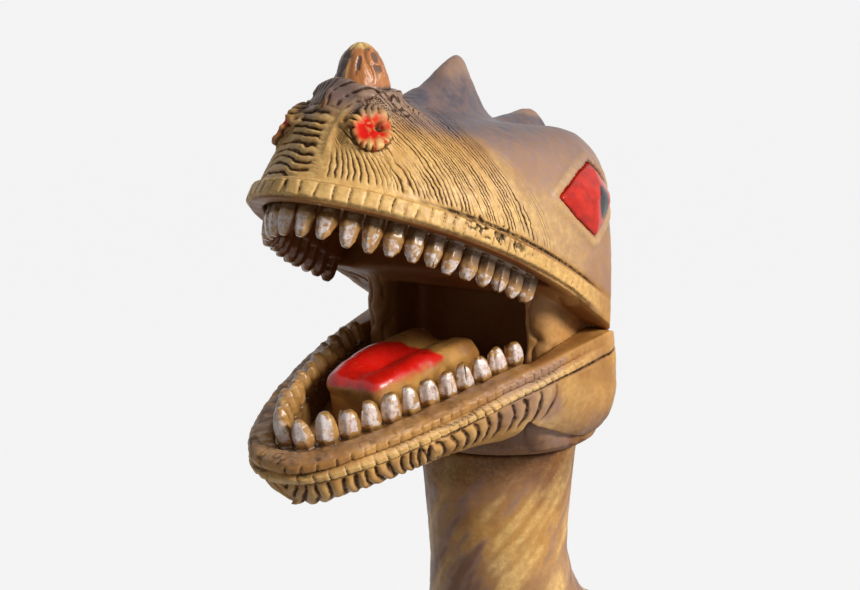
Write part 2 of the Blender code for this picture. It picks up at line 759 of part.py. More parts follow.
def throat_ring(height, half_width, front, rear, back=0.0):
    """A plan ring of the throat block: squarish cheeks in front, a rounder nape, and round at the bottom."""
    ring = []
    above_bottom = (height + THROAT_DROP) / THROAT_DROP
    squareness = min(1.0, max(0.0, above_bottom / THROAT_ROUNDING_SHARE))
    for turn in np.arange(BODY_ROUND) * 2 * math.pi / BODY_ROUND:
        c, s = math.cos(turn), math.sin(turn)
        power = 2 + ((NAPE_POWER if s > 0 else CHEEK_POWER) - 2) * squareness
        x = half_width * math.copysign(abs(c) ** (2 / power), c)
        y = back + (rear if s > 0 else front) * math.copysign(abs(s) ** (2 / power), s)
        ring.append(np.array([x, y, MOUTH_HEIGHT + height]))
    return ring


def build_throat():
    """The block that carries the gullet, the hinge pins and the neck socket."""
    neck = NECK_TOP_RADIUS
    rings = []
    for down, swelling in THROAT_SHARES:
        rings.append(
            throat_ring(
                -THROAT_DROP * down,
                neck + (THROAT_HALF_WIDTH - neck) * swelling,
                neck + (THROAT_FRONT - neck) * swelling,
                neck + (THROAT_REAR - neck) * swelling,
                NECK_BACK,
            )
        )
    return loft("throat", rings)


def build_nape():
    """The outer layer of the neck behind the jaw's arms, which fades into the neck below."""
    rings = []
    for down, swelling in NAPE_SHARES:
        ring = oval(
            (0, NAPE_BACK * swelling, MOUTH_HEIGHT - THROAT_DROP * down),
            (1, 0, 0),
            (0, 1, 0),
            NECK_TOP_RADIUS + (NAPE_HALF_WIDTH - NECK_TOP_RADIUS) * swelling,
            NECK_TOP_RADIUS + (NAPE_HALF_DEPTH - NECK_TOP_RADIUS) * swelling,
            BODY_ROUND,
        )
        rings.append(ring)
    far = JAW_LENGTH * 2
    return cut(loft("nape", rings), box("ahead", (-far, -far, 0.0), (far, HINGE_BACK, MOUTH_HEIGHT * 2)))


def build_upper_head():
    head = joined(build_skull(), build_throat(), build_nape())
    cavity = mouth_solid(
        "mouth", upper_outline, JAW_LENGTH, UPPER_LIP_WALL, JAW_LENGTH * CAVITY_REAR_SHARE,
        (-SKULL_HEIGHT * CAVITY_DROP_SHARE, PALATE_HEIGHT), skull_frame,
    )
    gullet = box(
        "gullet",
        (-GULLET_HALF_WIDTH, -JAW_LENGTH / 2, MOUTH_HEIGHT - GULLET_DROP),
        (GULLET_HALF_WIDTH, -GULLET_REAR, MOUTH_HEIGHT + PALATE_HEIGHT),
    )
    cut(head, cavity, gullet)
    for side in (-1, 1):
        cut(head, ramus_pocket(side))
        cut(head, hinge_hole(side, CLEARANCE))
        cut(head, eye_prism(side, CLEARANCE))
    cut(head, horn_socket())
    knob_base = (0, NECK_BACK, MOUTH_HEIGHT - THROAT_DROP)
    cut(
        head,
        snap_socket(
            "neck_socket", knob_base, (0, 0, 1), NECK_STEM_RADIUS, NECK_STEM_LENGTH, NECK_FLANGE_RADIUS,
            NECK_FLANGE_THICKNESS,
        ),
    )
    return coated(head, SKIN, SATIN_SHARE)


def mouth_solid(name, outline, length, inset, rear, heights, frame):
    """A straight-walled solid over a lip's plan outline moved inwards, closed straight across at the rear."""
    path = lip_path(outline, length, inset, rear)
    points = [on_path(path, d)[0] for d in np.linspace(0, path[0][-1], MOUTH_STEPS)]
    return loft(name, [[frame(x, s, n) for x, s in points] for n in heights])


def ramus_outline(gap, lip_room):
    """The side view of the jaw's arm as (y, z) corners, grown by a gap, with lip_room above its lip line."""
    hinge = hinge_point()
    radius = hinge_disc_radius() + gap
    a = math.radians(JAW_PITCH)
    top = math.pi / 2 - a
    corners = []
    for s in (RAMUS_REACH_SHARE, CORNER_SHARE):
        _, y, z = jaw_frame(0.0, JAW_LENGTH * s, lip_room)
        corners.append((y, z))
    for turn in np.linspace(top, math.radians(LOBE_TURN), TURN_ROUND // 2):
        corners.append((hinge[1] + radius * math.cos(turn), hinge[2] + radius * math.sin(turn)))
    for y, z in LOBE_SHARES:
        corners.append((y * JAW_LENGTH + gap, MOUTH_HEIGHT + z * JAW_LENGTH))
    corners.append((JAW_LENGTH * LOBE_SHARES[-1][0], MOUTH_HEIGHT - JAW_LENGTH))
    corners.append((-JAW_LENGTH * RAMUS_REACH_SHARE, MOUTH_HEIGHT - JAW_LENGTH))
    return corners


def hinge_disc_radius():
    """The jaw's top edge is tangent to a disc of this radius about the hinge."""
    a = math.radians(JAW_PITCH)
    _, y, z = hinge_point() - np.array([0.0, 0.0, MOUTH_HEIGHT])
    return -(y * math.sin(a) + z * math.cos(a))


def ramus_pocket(side):
    """Clears the space outside the throat block that the jaw's arm fills and sweeps as the mouth closes."""
    low, high = side * THROAT_HALF_WIDTH, side * (HEAD_HALF_WIDTH + OVERRUN)
    return prism("ramus_pocket", ramus_outline(CLEARANCE, CLEARANCE), low, high)


def hinge_point(x=0.0):
    return np.array([x, HINGE_BACK, MOUTH_HEIGHT - HINGE_DROP])


def hinge_hole(side, gap):
    """A blind hole through the arm's inner face into the throat block."""
    radius = PIN_RADIUS + gap
    start = pin_start() - gap
    return turned(
        "hinge_hole", ((radius, 0.0), (radius, PIN_LENGTH + 2 * gap)), hinge_point(side * start), (side, 0, 0)
    )


def pin_start():
    """Where the hinge pin's inner end lies, half its length each side of the running gap."""
    return THROAT_HALF_WIDTH + CLEARANCE / 2 - PIN_LENGTH / 2


def build_pin():
    """The left hinge pin, with chamfered ends."""
    chamfer = PIN_RADIUS * PIN_CHAMFER_SHARE
    profile = (
        (PIN_RADIUS - chamfer, 0.0),
        (PIN_RADIUS, chamfer),
        (PIN_RADIUS, PIN_LENGTH - chamfer),
        (PIN_RADIUS - chamfer, PIN_LENGTH),
    )
    return turned("jaw_pin_left", profile, hinge_point(pin_start()), (1, 0, 0))


def eye_prism(side, gap):
    """The diamond bed of an eye, cut straight in from the side."""
    corners = []
    for y, z in EYE_SHARES:
        corners.append(
            (EYE_BACK + (EYE_HALF_LENGTH + gap) * y, MOUTH_HEIGHT + EYE_RISE + (EYE_HALF_HEIGHT + gap) * z)
        )
    return prism("eye_bed", corners, side * (EYE_BED - gap), side * (HEAD_HALF_WIDTH + OVERRUN))


def build_eye():
    """The left eye's diamond, whose face follows the skull and stands a little proud of it."""
    eye = eye_prism(1, 0.0)
    eye.name = "eye_left"
    return combined(eye, build_skull(EYE_PROUD), "INTERSECT")


def horn_centre():
    return np.array([0.0, -HORN_PLACE, MOUTH_HEIGHT + HORN_BASE])


def build_horn():
    profile = [(HORN_STUB_RADIUS, -HORN_STUB_DEPTH), (HORN_STUB_RADIUS, 0.0)]
    profile += [(HORN_RADIUS * wide, HORN_HEIGHT * up) for wide, up in HORN_SHARES]
    return coated(turned("nose_horn", profile, horn_centre(), (0, 0, 1)), HORN_COLOUR, GLOSS_SHARE)


def horn_socket():
    """A flat seat for the horn with a hole for its stub."""
    gap = CLEARANCE
    profile = (
        (HORN_STUB_RADIUS + gap, -HORN_STUB_DEPTH - gap),
        (HORN_STUB_RADIUS + gap, -gap),
        (HORN_RADIUS * HORN_SHARES[0][0] + gap, -gap),
        (HORN_RADIUS * HORN_SHARES[0][0] + gap, OVERRUN),
    )
    return turned("horn_socket", profile, horn_centre(), (0, 0, 1))


def build_lower_jaw():
    jaw = two_sided("lower_jaw", jaw_surface(JAW_STATIONS, JAW_ROWS), jaw_frame)
    wide = HEAD_HALF_WIDTH + OVERRUN
    combined(jaw, prism("ramus_shape", ramus_outline(0.0, OVERRUN), -wide, wide), "INTERSECT")
    trough = mouth_solid(
        "trough", lower_outline, LOWER_JAW_LENGTH, LOWER_LIP_WALL, JAW_LENGTH * CAVITY_REAR_SHARE,
        (-TROUGH_DEPTH, OVERRUN), jaw_frame,
    )
    clear = THROAT_HALF_WIDTH + CLEARANCE
    throat_space = box(
        "throat_space",
        (-clear, -JAW_LENGTH * FLOOR_REAR_SHARE, 0.0),
        (clear, JAW_LENGTH, MOUTH_HEIGHT + OVERRUN),
    )
    cut(jaw, trough, throat_space)
    for side in (-1, 1):
        cut(jaw, hinge_hole(side, CLEARANCE))
    return coated(jaw, SKIN, SATIN_SHARE)


def build_tongue():
    """A thick tongue with a blunt front and a flat top, lying in the jaw's trough."""
    low = -TROUGH_DEPTH + CLEARANCE
    rings = []
    for along, wide, top in TONGUE_SHARES:
        s = TONGUE_REAR + (TONGUE_FRONT - TONGUE_REAR) * along
        half, tall = TONGUE_HALF_WIDTH * wide, (TONGUE_RISE - low) * top
        right = [(half * out, low + tall * up) for out, up in TONGUE_SECTION_SHARES]
        ring = right + [(-x, n) for x, n in reversed(right)]
        rings.append([jaw_frame(x, s, n) for x, n in ring])
    return coated(loft("tongue", rings), RED, GLOSS_SHARE)


def build_upper_teeth():
    row = tooth_row(
        "upper_teeth", upper_outline, JAW_LENGTH, UPPER_LIP_WALL + CLEARANCE + GUM_THICKNESS / 2,
        UPPER_TEETH, UPPER_TOOTH_PITCH, UPPER_LAST_SHARE, (LIP_ARCH, PALATE_HEIGHT - CLEARANCE), skull_frame,
        -UPPER_TOOTH_LENGTH,
    )
    return coated(row, TOOTH_COLOUR, SATIN_SHARE)


def build_lower_teeth():
    row = tooth_row(
        "lower_teeth", lower_outline, LOWER_JAW_LENGTH, LOWER_LIP_WALL + CLEARANCE + GUM_THICKNESS / 2,
        LOWER_TEETH, LOWER_TOOTH_PITCH, LOWER_LAST_SHARE, (-TROUGH_DEPTH + CLEARANCE, 0.0), jaw_frame,
        LOWER_TOOTH_LENGTH,
    )
    return coated(row, TOOTH_COLOUR, SATIN_SHARE)


def body_rows():
    """Rings of the torso from the neck seam to the tail seam: x, y, z, half width and half depth."""
    drop = NECK_SEAM - TAIL_ROOT_HEIGHT
    rows = []
    for back, up, wide, deep in BODY_SHARES:
        y, z = BODY_LENGTH * back, TAIL_ROOT_HEIGHT + drop * up
        rows.append((0.0, y, z, BELLY_HALF_WIDTH * wide, BELLY_HALF_DEPTH * deep))
    return rows


def tail_seam():
    """Centre and direction of the seam between torso and tail."""
    rows = smooth_rows(body_rows(), BODY_STEPS)
    along = rows[-1, :3] - rows[-2, :3]
    return rows[-1, :3], along / np.linalg.norm(along)


def pad(name, face, side, centre_y, centre_z, radius, depth):
    """A flat round boss from inside the body out to |X| = face."""
    profile = [(radius * wide, -depth * down) for wide, down in PAD_SHARES]
    return turned(name, profile, (side * face, centre_y, centre_z), (side, 0, 0), BODY_ROUND)


def build_torso():
    torso = swept("torso", body_rows(), BODY_STEPS, BODY_ROUND)
    wide = BODY_LENGTH
    cut(torso, box("above", (-wide, -wide, NECK_SEAM - CLEARANCE), (wide, wide, NECK_SEAM * 2)))
    for side in (-1, 1):
        joined(torso, pad("hip_pad", HIP_FACE, side, HIP_BACK, HIP_HEIGHT, HIP_PAD_RADIUS, HIP_PAD_DEPTH))
        joined(
            torso,
            pad(
                "shoulder_pad", SHOULDER_FACE, side, SHOULDER_BACK, SHOULDER_HEIGHT, SHOULDER_PAD_RADIUS,
                SHOULDER_PAD_DEPTH,
            ),
        )
    for side in (-1, 1):
        cut(
            torso,
            snap_socket(
                "hip_socket", (side * HIP_FACE, HIP_BACK, HIP_HEIGHT), (-side, 0, 0), HIP_STEM_RADIUS,
                HIP_STEM_LENGTH, HIP_FLANGE_RADIUS, HIP_FLANGE_THICKNESS,
            ),
            snap_socket(
                "shoulder_socket", (side * SHOULDER_FACE, SHOULDER_BACK, SHOULDER_HEIGHT), (-side, 0, 0),
                SHOULDER_STEM_RADIUS, SHOULDER_STEM_LENGTH, SHOULDER_FLANGE_RADIUS, SHOULDER_FLANGE_THICKNESS,
            ),
        )
    base, along = tail_seam()
    cut(
        torso,
        snap_socket(
            "tail_socket", base, -along, TAIL_STEM_RADIUS, TAIL_STEM_LENGTH, TAIL_FLANGE_RADIUS,
            TAIL_FLANGE_THICKNESS,
        ),
    )
    knob = snap_knob(
        "neck_knob", (0, NECK_BACK, NECK_SEAM), (0, 0, 1), NECK_STEM_RADIUS, NECK_STEM_LENGTH,
        NECK_FLANGE_RADIUS, NECK_FLANGE_THICKNESS, OVERRUN,
    )
    joined(torso, knob)
    return coated(torso, SKIN, SATIN_SHARE)


def build_tail():
    base, along = tail_seam()
    start = base + along * CLEARANCE
    rows = [(*start, TAIL_ROOT_RADIUS, TAIL_ROOT_RADIUS)]
    for back, up, radius in TAIL_SHARES:
        y, z = BODY_LENGTH + TAIL_LENGTH * back, TAIL_ROOT_HEIGHT * up
        rows.append((0.0, y, z, TAIL_ROOT_RADIUS * radius, TAIL_ROOT_RADIUS * radius))
    tail = cut(swept("tail", rows, TAIL_STEPS, BODY_ROUND), half_space(start, along))
    root = [(TAIL_ROOT_RADIUS * wide, TAIL_ROOT_RADIUS * up) for wide, up in TAIL_LAP_SHARES]
    joined(tail, turned("tail_root", root, start, along, BODY_ROUND))
    knob = snap_knob(
        "tail_knob", base, -along, TAIL_STEM_RADIUS, TAIL_STEM_LENGTH, TAIL_FLANGE_RADIUS,
        TAIL_FLANGE_THICKNESS, OVERRUN,
    )
    joined(tail, knob)
    cut(tail, floor_block())
    return coated(tail, SKIN, SATIN_SHARE)


def half_space(point, along):
    """Everything behind a plane, as a big square block."""
    return turned("behind", ((JAW_LENGTH, -JAW_LENGTH), (JAW_LENGTH, 0.0)), point, along, 4)


def floor_block():
    """Everything below the floor."""
    far = JAW_LENGTH * 6
    return box("floor_block", (-far, -far, -far), (far, far, 0.0))


def inner_block(half):
    """Everything nearer the middle plane than half."""
    far = JAW_LENGTH * 6
    return box("inner_block", (-half, -far, -far), (half, far, far))


def build_leg():
    """The left leg with its foot and toes, and the knob that snaps into the hip."""
    inner = HIP_FACE + CLEARANCE
    profile = [(THIGH_RADIUS * wide, THIGH_BULGE * out) for wide, out in DOME_SHARES]
    leg = turned("leg_left", profile, (inner, HIP_BACK, HIP_HEIGHT), (1, 0, 0), BODY_ROUND)
    rows = []
    for out, back, up, wide, deep in SHANK_SHARES:
        x, y, z = inner + FOOT_OUT * out, HIP_BACK * back, HIP_HEIGHT * up
        rows.append((x, y, z, SHANK_RADIUS * wide, SHANK_RADIUS * deep))
    shank = cut(swept("shank", rows, SHANK_STEPS, LIMB_ROUND), inner_block(inner + CLEARANCE))
    for turn, length in TOE_SPREAD_SHARES:
        joined(shank, toe(math.radians(turn), TOE_LENGTH * length))
    cut(shank, floor_block())
    joined(leg, shank)
    knob = snap_knob(
        "hip_knob", (HIP_FACE, HIP_BACK, HIP_HEIGHT), (-1, 0, 0), HIP_STEM_RADIUS, HIP_STEM_LENGTH,
        HIP_FLANGE_RADIUS, HIP_FLANGE_THICKNESS, HIP_STEM_LENGTH,
    )
    return joined(leg, knob)


def toe(turn, length):
    """One toe, from the ball of the foot to the end of its claw."""
    x0 = HIP_FACE + CLEARANCE + FOOT_OUT
    y0 = HIP_BACK * SHANK_SHARES[-1][1]
    rows = []
    for along, up, radius in TOE_SHARES:
        x, y = x0 + length * along * math.sin(turn), y0 - length * along * math.cos(turn)
        rows.append((x, y, TOE_RADIUS * up, TOE_RADIUS * radius, TOE_RADIUS * radius))
    return swept("toe", rows, TOE_STEPS, TOE_ROUND)


def build_arm():
    """The left arm with its hand and fingers, and the knob that snaps into the shoulder."""
    inner = SHOULDER_FACE + CLEARANCE
    profile = [(SHOULDER_PAD_RADIUS * wide, SHOULDER_BULGE * out) for wide, out in DOME_SHARES]
    arm = turned("arm_left", profile, (inner, SHOULDER_BACK, SHOULDER_HEIGHT), (1, 0, 0), TURN_ROUND)
    rows = []
    for out, ahead, down, wide, deep in ARM_SHARES:
        x = inner + ARM_OUT * out
        y, z = SHOULDER_BACK - ARM_REACH * ahead, SHOULDER_HEIGHT - ARM_REACH * down
        rows.append((x, y, z, ARM_RADIUS * wide, ARM_RADIUS * deep))
    joined(arm, cut(swept("forearm", rows, ARM_STEPS, LIMB_ROUND), inner_block(inner + CLEARANCE)))
    for spread, drop in FINGER_SPREAD_SHARES:
        joined(arm, finger(rows[-1][:3], math.radians(spread), drop))
    knob = snap_knob(
        "shoulder_knob", (SHOULDER_FACE, SHOULDER_BACK, SHOULDER_HEIGHT), (-1, 0, 0), SHOULDER_STEM_RADIUS,
        SHOULDER_STEM_LENGTH, SHOULDER_FLANGE_RADIUS, SHOULDER_FLANGE_THICKNESS, SHOULDER_STEM_LENGTH,
    )
    return joined(arm, knob)


def finger(wrist, turn, drop):
    """One finger, curving down to its claw."""
    rows = []
    for along, up, radius in FINGER_SHARES:
        reach = FINGER_LENGTH * along
        x, y = wrist[0] + reach * math.sin(turn), wrist[1] - reach * math.cos(turn)
        z = wrist[2] + FINGER_LENGTH * (up - drop * along)
        rows.append((x, y, z, FINGER_RADIUS * radius, FINGER_RADIUS * radius))
    return swept("finger", rows, FINGER_STEPS, FINGER_ROUND)


def set_origin(obj, point):
    """Moves an object's origin to a point, leaving its shape where it is."""
    obj.data.transform(Matrix.Translation(-Vector(point)))
    obj.location = point


def centre_on_box():
    """Moves the finished figure so that the centre of its box's underside is the origin."""
    shapes = [obj for obj in bpy.context.scene.objects if obj.type == "MESH"]
    points = np.array([vertex.co + obj.location for obj in shapes for vertex in obj.data.vertices])
    middle = (points.min(axis=0) + points.max(axis=0)) / 2
    for obj in shapes:
        obj.location.y -= middle[1]


def build_pairs():
    """The left-hand pieces, each with its name, its origin and its finish."""
    neck = (0.0, NECK_BACK, NECK_SEAM)
    hip, shoulder = (HIP_FACE, HIP_BACK, HIP_HEIGHT), (SHOULDER_FACE, SHOULDER_BACK, SHOULDER_HEIGHT)
    return (
        (build_pin(), "jaw_pin", hinge_point(), PIN_COLOUR, MATTE_SHARE),
        (build_eye(), "eye", neck, RED, WET_SHARE),
        (build_leg(), "leg", hip, SKIN, SATIN_SHARE),
        (build_arm(), "arm", shoulder, SKIN, SATIN_SHARE),
    )


def main():
    clear_scene()
    neck = (0.0, NECK_BACK, NECK_SEAM)
    for piece in (build_upper_head(), build_horn(), build_upper_teeth()):
        set_origin(piece, neck)
    for piece in (build_lower_jaw(), build_tongue(), build_lower_teeth()):
        set_origin(piece, hinge_point())
    build_torso()
    set_origin(build_tail(), tail_seam()[0])
    for left, name, origin, colour, roughness in build_pairs():
        right = mirrored(left, name + "_right", colour, roughness)
        coated(left, colour, roughness)
        set_origin(left, origin)
        set_origin(right, (-origin[0], origin[1], origin[2]))
    centre_on_box()


main()
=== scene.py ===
"""Dresses the toy dinosaur figure: sculpted vinyl skin, painted teeth, horn, eyes and tongue, on a pale floor.

The head is laid out as the figure's maker would: the skull along its upper lip and the jaw along its lower lip.
s runs forward from the mouth corner and n stands square to that lip, both in metres.
"""

import json
import math

import bpy
import numpy as np
from bpy.props import FloatProperty, FloatVectorProperty, PointerProperty
from mathutils import Matrix, Vector


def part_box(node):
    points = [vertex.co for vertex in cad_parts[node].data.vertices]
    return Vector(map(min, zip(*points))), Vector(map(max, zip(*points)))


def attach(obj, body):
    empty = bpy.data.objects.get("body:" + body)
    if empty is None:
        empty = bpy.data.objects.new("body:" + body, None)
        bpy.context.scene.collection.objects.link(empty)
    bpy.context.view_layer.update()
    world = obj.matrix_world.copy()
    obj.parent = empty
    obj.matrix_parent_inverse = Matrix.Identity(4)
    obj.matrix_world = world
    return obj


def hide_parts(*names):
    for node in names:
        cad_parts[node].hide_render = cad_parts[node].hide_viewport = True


bl_info = {
    "name": "Toy Dinosaur Figure",
    "version": (1, 0, 0),
    "blender": (4, 5, 0),
    "location": "View3D > Sidebar > Dinosaur",
    "description": "Sculpts and paints a vinyl dinosaur figure over its solid parts",
    "category": "Object",
}

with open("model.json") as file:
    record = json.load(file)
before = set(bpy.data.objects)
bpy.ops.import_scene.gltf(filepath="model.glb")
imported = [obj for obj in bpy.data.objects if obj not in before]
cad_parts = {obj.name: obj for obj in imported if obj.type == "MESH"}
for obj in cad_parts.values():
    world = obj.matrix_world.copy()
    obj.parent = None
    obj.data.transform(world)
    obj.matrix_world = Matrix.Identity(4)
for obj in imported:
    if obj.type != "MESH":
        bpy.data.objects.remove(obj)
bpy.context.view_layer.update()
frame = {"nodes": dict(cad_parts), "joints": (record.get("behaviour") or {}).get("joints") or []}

MM = 0.001

# The head's layout, as in the solid model
JAW_LENGTH = 0.100
HEAD_HALF_WIDTH = 0.041
SKULL_HEIGHT = 0.055
SKULL_PITCH = math.radians(24.2)
SNOUT_LEAN = 0.006
LIP_ARCH = 0.0029
LIP_HEIGHT = 0.0058
LIP_PROUD = 0.0012
CREST_HEIGHT = 0.0178
CREST_HALF_WIDTH = 0.0062
MOUND_RISE = 0.0040
MOUND_RADIUS = 0.0115
BROW_RISE = 0.0032
HORN_PLACE = 0.0600
HORN_BASE = 0.0665
HORN_ALONG = HORN_PLACE * math.cos(SKULL_PITCH) + HORN_BASE * math.sin(SKULL_PITCH)
JAW_PITCH = math.radians(-14.0)
LOWER_JAW_LENGTH = 0.0988
JAW_DEPTH = 0.037
JAW_ARCH = 0.0014
CHIN_RETREAT_SHARE = 0.06
JAW_REAR_SHARE = -0.20
CORNER_SHARE = 0.034
WIDEST_SHARE = 0.03
SNOUT_ROUNDING_SHARES = (2.78, 1.755)
NAPE_ROUNDING_SHARE = 1.3
JAW_ROUNDING_SHARES = (1.11, 2.32)
LOBE_ROUNDING_SHARE = 1.8
HINGE_BACK = -0.0010
HINGE_DROP = 0.0100
EYE_BACK = -0.0110
EYE_RISE = 0.0364
EYE_HALF_LENGTH = 0.0140
EYE_HALF_HEIGHT = 0.0096

ROOF_SHARES = (
    (-0.33, 0.90), (-0.20, 0.985), (-0.08, 1.0), (0.0, 0.965), (0.21, 0.88), (0.40, 0.81),
    (0.63, 0.70), (0.80, 0.60), (0.93, 0.55), (1.0, 0.52),
)
REAR_SHARES = ((0.0, -0.33), (0.55, -0.275), (0.8, -0.22), (1.0, -0.14))
SECTION_SHARES = (
    (-0.33, 2.3), (0.0, 3.2), (0.20, 3.6), (0.40, 3.0), (0.60, 2.4), (0.80, 2.2), (1.0, 2.3),
)
CREST_SHARES = (
    (-0.30, 0.10), (-0.129, 0.20), (-0.049, 0.22), (0.02, 0.48), (0.056, 0.62), (0.09, 0.58), (0.13, 0.46),
    (0.18, 0.31), (0.261, 0.20), (0.33, 0.36), (0.397, 0.74), (0.44, 0.96), (0.474, 1.0), (0.51, 0.80),
    (0.552, 0.52), (0.62, 0.28), (0.68, 0.06), (0.72, 0.0),
)
BROW_SHARES = (0.20, 0.20, 0.60, 0.28)
JAW_DEPTH_SHARES = (
    (-0.20, 1.0), (0.03, 1.0), (0.12, 0.95), (0.20, 0.84), (0.376, 0.60), (0.50, 0.52), (0.70, 0.45),
    (0.85, 0.42), (0.92, 0.41), (0.988, 0.33),
)
JAW_SECTION_SHARES = ((-0.20, 3.2), (0.2, 3.6), (0.4, 3.3), (0.7, 3.0), (1.0, 3.0))
NOSTRIL_SHARES = (0.30, 0.905, 0.74)
NOSTRIL_OUTWARD = (math.sin(math.radians(50)), math.cos(math.radians(50)), 0.15)
NOSTRIL_RISE = 0.0030
NOSTRIL_RADIUS = 0.0060
EYE_SHARES = (
    (-1.0, 0.18), (-0.60, -0.38), (0.02, -1.0), (0.35, -0.62), (0.85, -0.15), (0.90, 0.15), (0.68, 0.55),
    (0.42, 0.98), (-0.13, 0.74), (-0.60, 0.45),
)

# Sculpted detail, which the solid model doesn't have
SETTLE_REACH = 2.4 * MM
ROSETTE_CENTRE = (13.25 * MM, 90.9 * MM, 22.7 * MM)
ROSETTE_TURN = math.radians(50)
ROSETTE_SIZE = (5.2 * MM, 6.0 * MM)
ROSETTE_SHIFT = 0.7 * MM
ROSETTE_HOLE = (2.9 * MM, 1.8 * MM)
BOWL_TILT = math.radians(33)
BOWL_SIZE = (5.6 * MM, 3.4 * MM)
STRIP_PLACE = 6.0 * MM
FRONT_PITCH = 2.2 * MM
UNDER_PITCH = 1.9 * MM
FLOW_PITCH = 1.4 * MM
FLOW_BEND = 44.0
COLLAR_PITCH = 1.75 * MM
NICK_PITCH = 4.3 * MM
NICK_CROWDING = 4.0
ROSETTE_FOLDS = 15
ROSETTE_STROKES = 11
HORN_RIBS = 7
CHEEK_PIT = (30 * MM, -25 * MM, -3 * MM)
PUPIL_PLACE = (4.8 * MM, -1.0 * MM)
PUPIL_SIZE = (3.2 * MM, 4.8 * MM)

# Heights between which the neck's streaks, its seam's plain edge and the painted shadow under the throat fade
# in or out
NECK_RISE = (0.215, 0.245)
NECK_SEAM = (0.2895, 0.286)
THROAT_SHADE = (0.266, 0.290)

NECK_RADIUS = 24 * MM
NECK_BACK = 4 * MM
TORSO_PITCH = 3.6 * MM
BELLY_PITCH = 6.5 * MM
TAIL_PITCH = 3.4 * MM
TAIL_RING_PITCH = 8 * MM
LIMB_PITCH = 3.2 * MM
LIMB_FOLD_PITCH = 5.5 * MM
LAP_DEPTH = 0.35 * MM

# A leg's and an arm's joint, share of the body's grain, strength of relief and length of claws
LIMBS = {"leg": ("hip", 1.0, 1.0, 11 * MM), "arm": ("shoulder", 0.6, 0.35, 4 * MM)}

# Second tones of the paint
TOOTH_OCHRES = ((0.52, 0.29, 0.090), (0.36, 0.18, 0.050))
TOOTH_PINK = (0.60, 0.42, 0.36)
TOOTH_SPECK = (0.24, 0.12, 0.065)
# Painted shade where the teeth meet the gum
TOOTH_ROOT_SHADE = (0.10, 0.045, 0.014)
HORN_STREAK = (0.40, 0.135, 0.030)
EYE_REDS = ((0.62, 0.020, 0.004), (0.40, 0.008, 0.003))
PIN_GREYS = ((0.30, 0.28, 0.26), (0.22, 0.20, 0.18))


def joint_place(name):
    """A joint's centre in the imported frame."""
    return Vector(next(joint["pos_m"] for joint in frame["joints"] if joint["name"] == name))


HEAD_POINT = joint_place("jaw_hinge") + Vector((0.0, -HINGE_BACK, HINGE_DROP))

# Camera, as fitted to the photograph
VIEW_TURN = math.radians(36.0)
VIEW_RISE = math.radians(9.0)
VIEW_DISTANCE = 0.500
VIEW_SIDE = -0.0176
VIEW_LIFT = 0.0055
LENS = 72.2
SENSOR_WIDTH = 36.0
CLIP_START = 0.01

WHITE = (1.0, 1.0, 1.0)
# Each lamp's name, way from the head (towards the camera, to its right, up), size, power and colour
LAMPS = (
    ("key_lamp", (0.62, 0.92, 0.50), 0.34, 17.5, (1.0, 0.95, 0.89)),
    ("fill_lamp", (0.9, -0.7, 0.25), 0.9, 0.25, WHITE),
)
WORLD_LIGHT = 0.14
WORLD_SEEN = 0.90
FLOOR_REACH = 40.0
FLOOR_ROUGHNESS = 0.8
FLOOR_GLOW = 0.88


def size_property(name, description, default, low, high):
    """A length whose default and limits are given in millimetres."""
    return FloatProperty(
        name=name, description=description, default=default * MM, min=low * MM, max=high * MM, precision=5,
        subtype="DISTANCE", unit="LENGTH",
    )


class DinosaurSizes(bpy.types.PropertyGroup):
    """Sizes of the sculpted detail."""

    head_grain: size_property("Head grain", "Face size of the sculpted head and jaw", 0.42, 0.2, 2)
    small_grain: size_property("Small part grain", "Face size of teeth, horn, eyes and tongue", 0.30, 0.1, 2)
    body_grain: size_property("Body grain", "Face size of the sculpted body, tail and limbs", 0.80, 0.3, 4)
    crease_depth: size_property("Crease depth", "Depth of the engraved creases on the head", 0.45, 0, 2)
    body_crease_depth: size_property("Body crease depth", "Depth of the folds on the body", 0.55, 0, 3)


def colour_property(name, description, default):
    return FloatVectorProperty(
        name=name, description=description, default=default, size=3, min=0.0, max=1.0, subtype="COLOR"
    )


class DinosaurColours(bpy.types.PropertyGroup):
    """Paint colours."""

    ochre: colour_property("Ochre", "Light vinyl colour of the skin", (0.60, 0.315, 0.085))
    tan: colour_property("Tan", "Darker patches of the skin", (0.37, 0.170, 0.042))
    bright: colour_property("Bright", "Yellow of the ridges and the lips", (0.90, 0.60, 0.225))
    # The wash also darkens the mouth's inner faces and the stub under the jaw as painted shade
    wash: colour_property("Wash", "Mauve-brown wash over the upper sides", (0.33, 0.205, 0.160))
    slate: colour_property("Slate", "Slate paint of the crest", (0.066, 0.058, 0.082))
    # The crease paint is also laid as painted shadow under the jaw, at the neck's top and in the cheek's pit
    crease: colour_property("Crease", "Dark paint in the creases", (0.036, 0.016, 0.007))
    # The throat's brown is also the painted shade in the mouth, under the jaw and on the upper teeth's inner
    # faces, and the neck's dark streaks
    throat: colour_property("Throat", "Dark paint inside the mouth", (0.19, 0.058, 0.013))
    red: colour_property("Red", "Red paint of eyes, tongue and nostrils", (0.66, 0.008, 0.004))
    white: colour_property("White", "Chipped paint on the teeth", (0.78, 0.70, 0.68))
    horn: colour_property("Horn", "Orange-brown of the nose horn", (0.50, 0.185, 0.045))
    # Its spots are paint; its dark side is painted shade on the horn's far side
    horn_spots_and_shade: colour_property("Dark horn", "Dark side and spots of the horn", (0.050, 0.022, 0.015))
    horn_tip: colour_property("Horn tip", "Worn yellow tip of the horn", (0.72, 0.50, 0.17))
    black: colour_property("Black", "Pupils", (0.006, 0.006, 0.007))
    floor: colour_property("Floor", "Pale floor", (0.45, 0.45, 0.45))


def sizes():
    return bpy.context.scene.dinosaur_sizes


def colours():
    return bpy.context.scene.dinosaur_colours


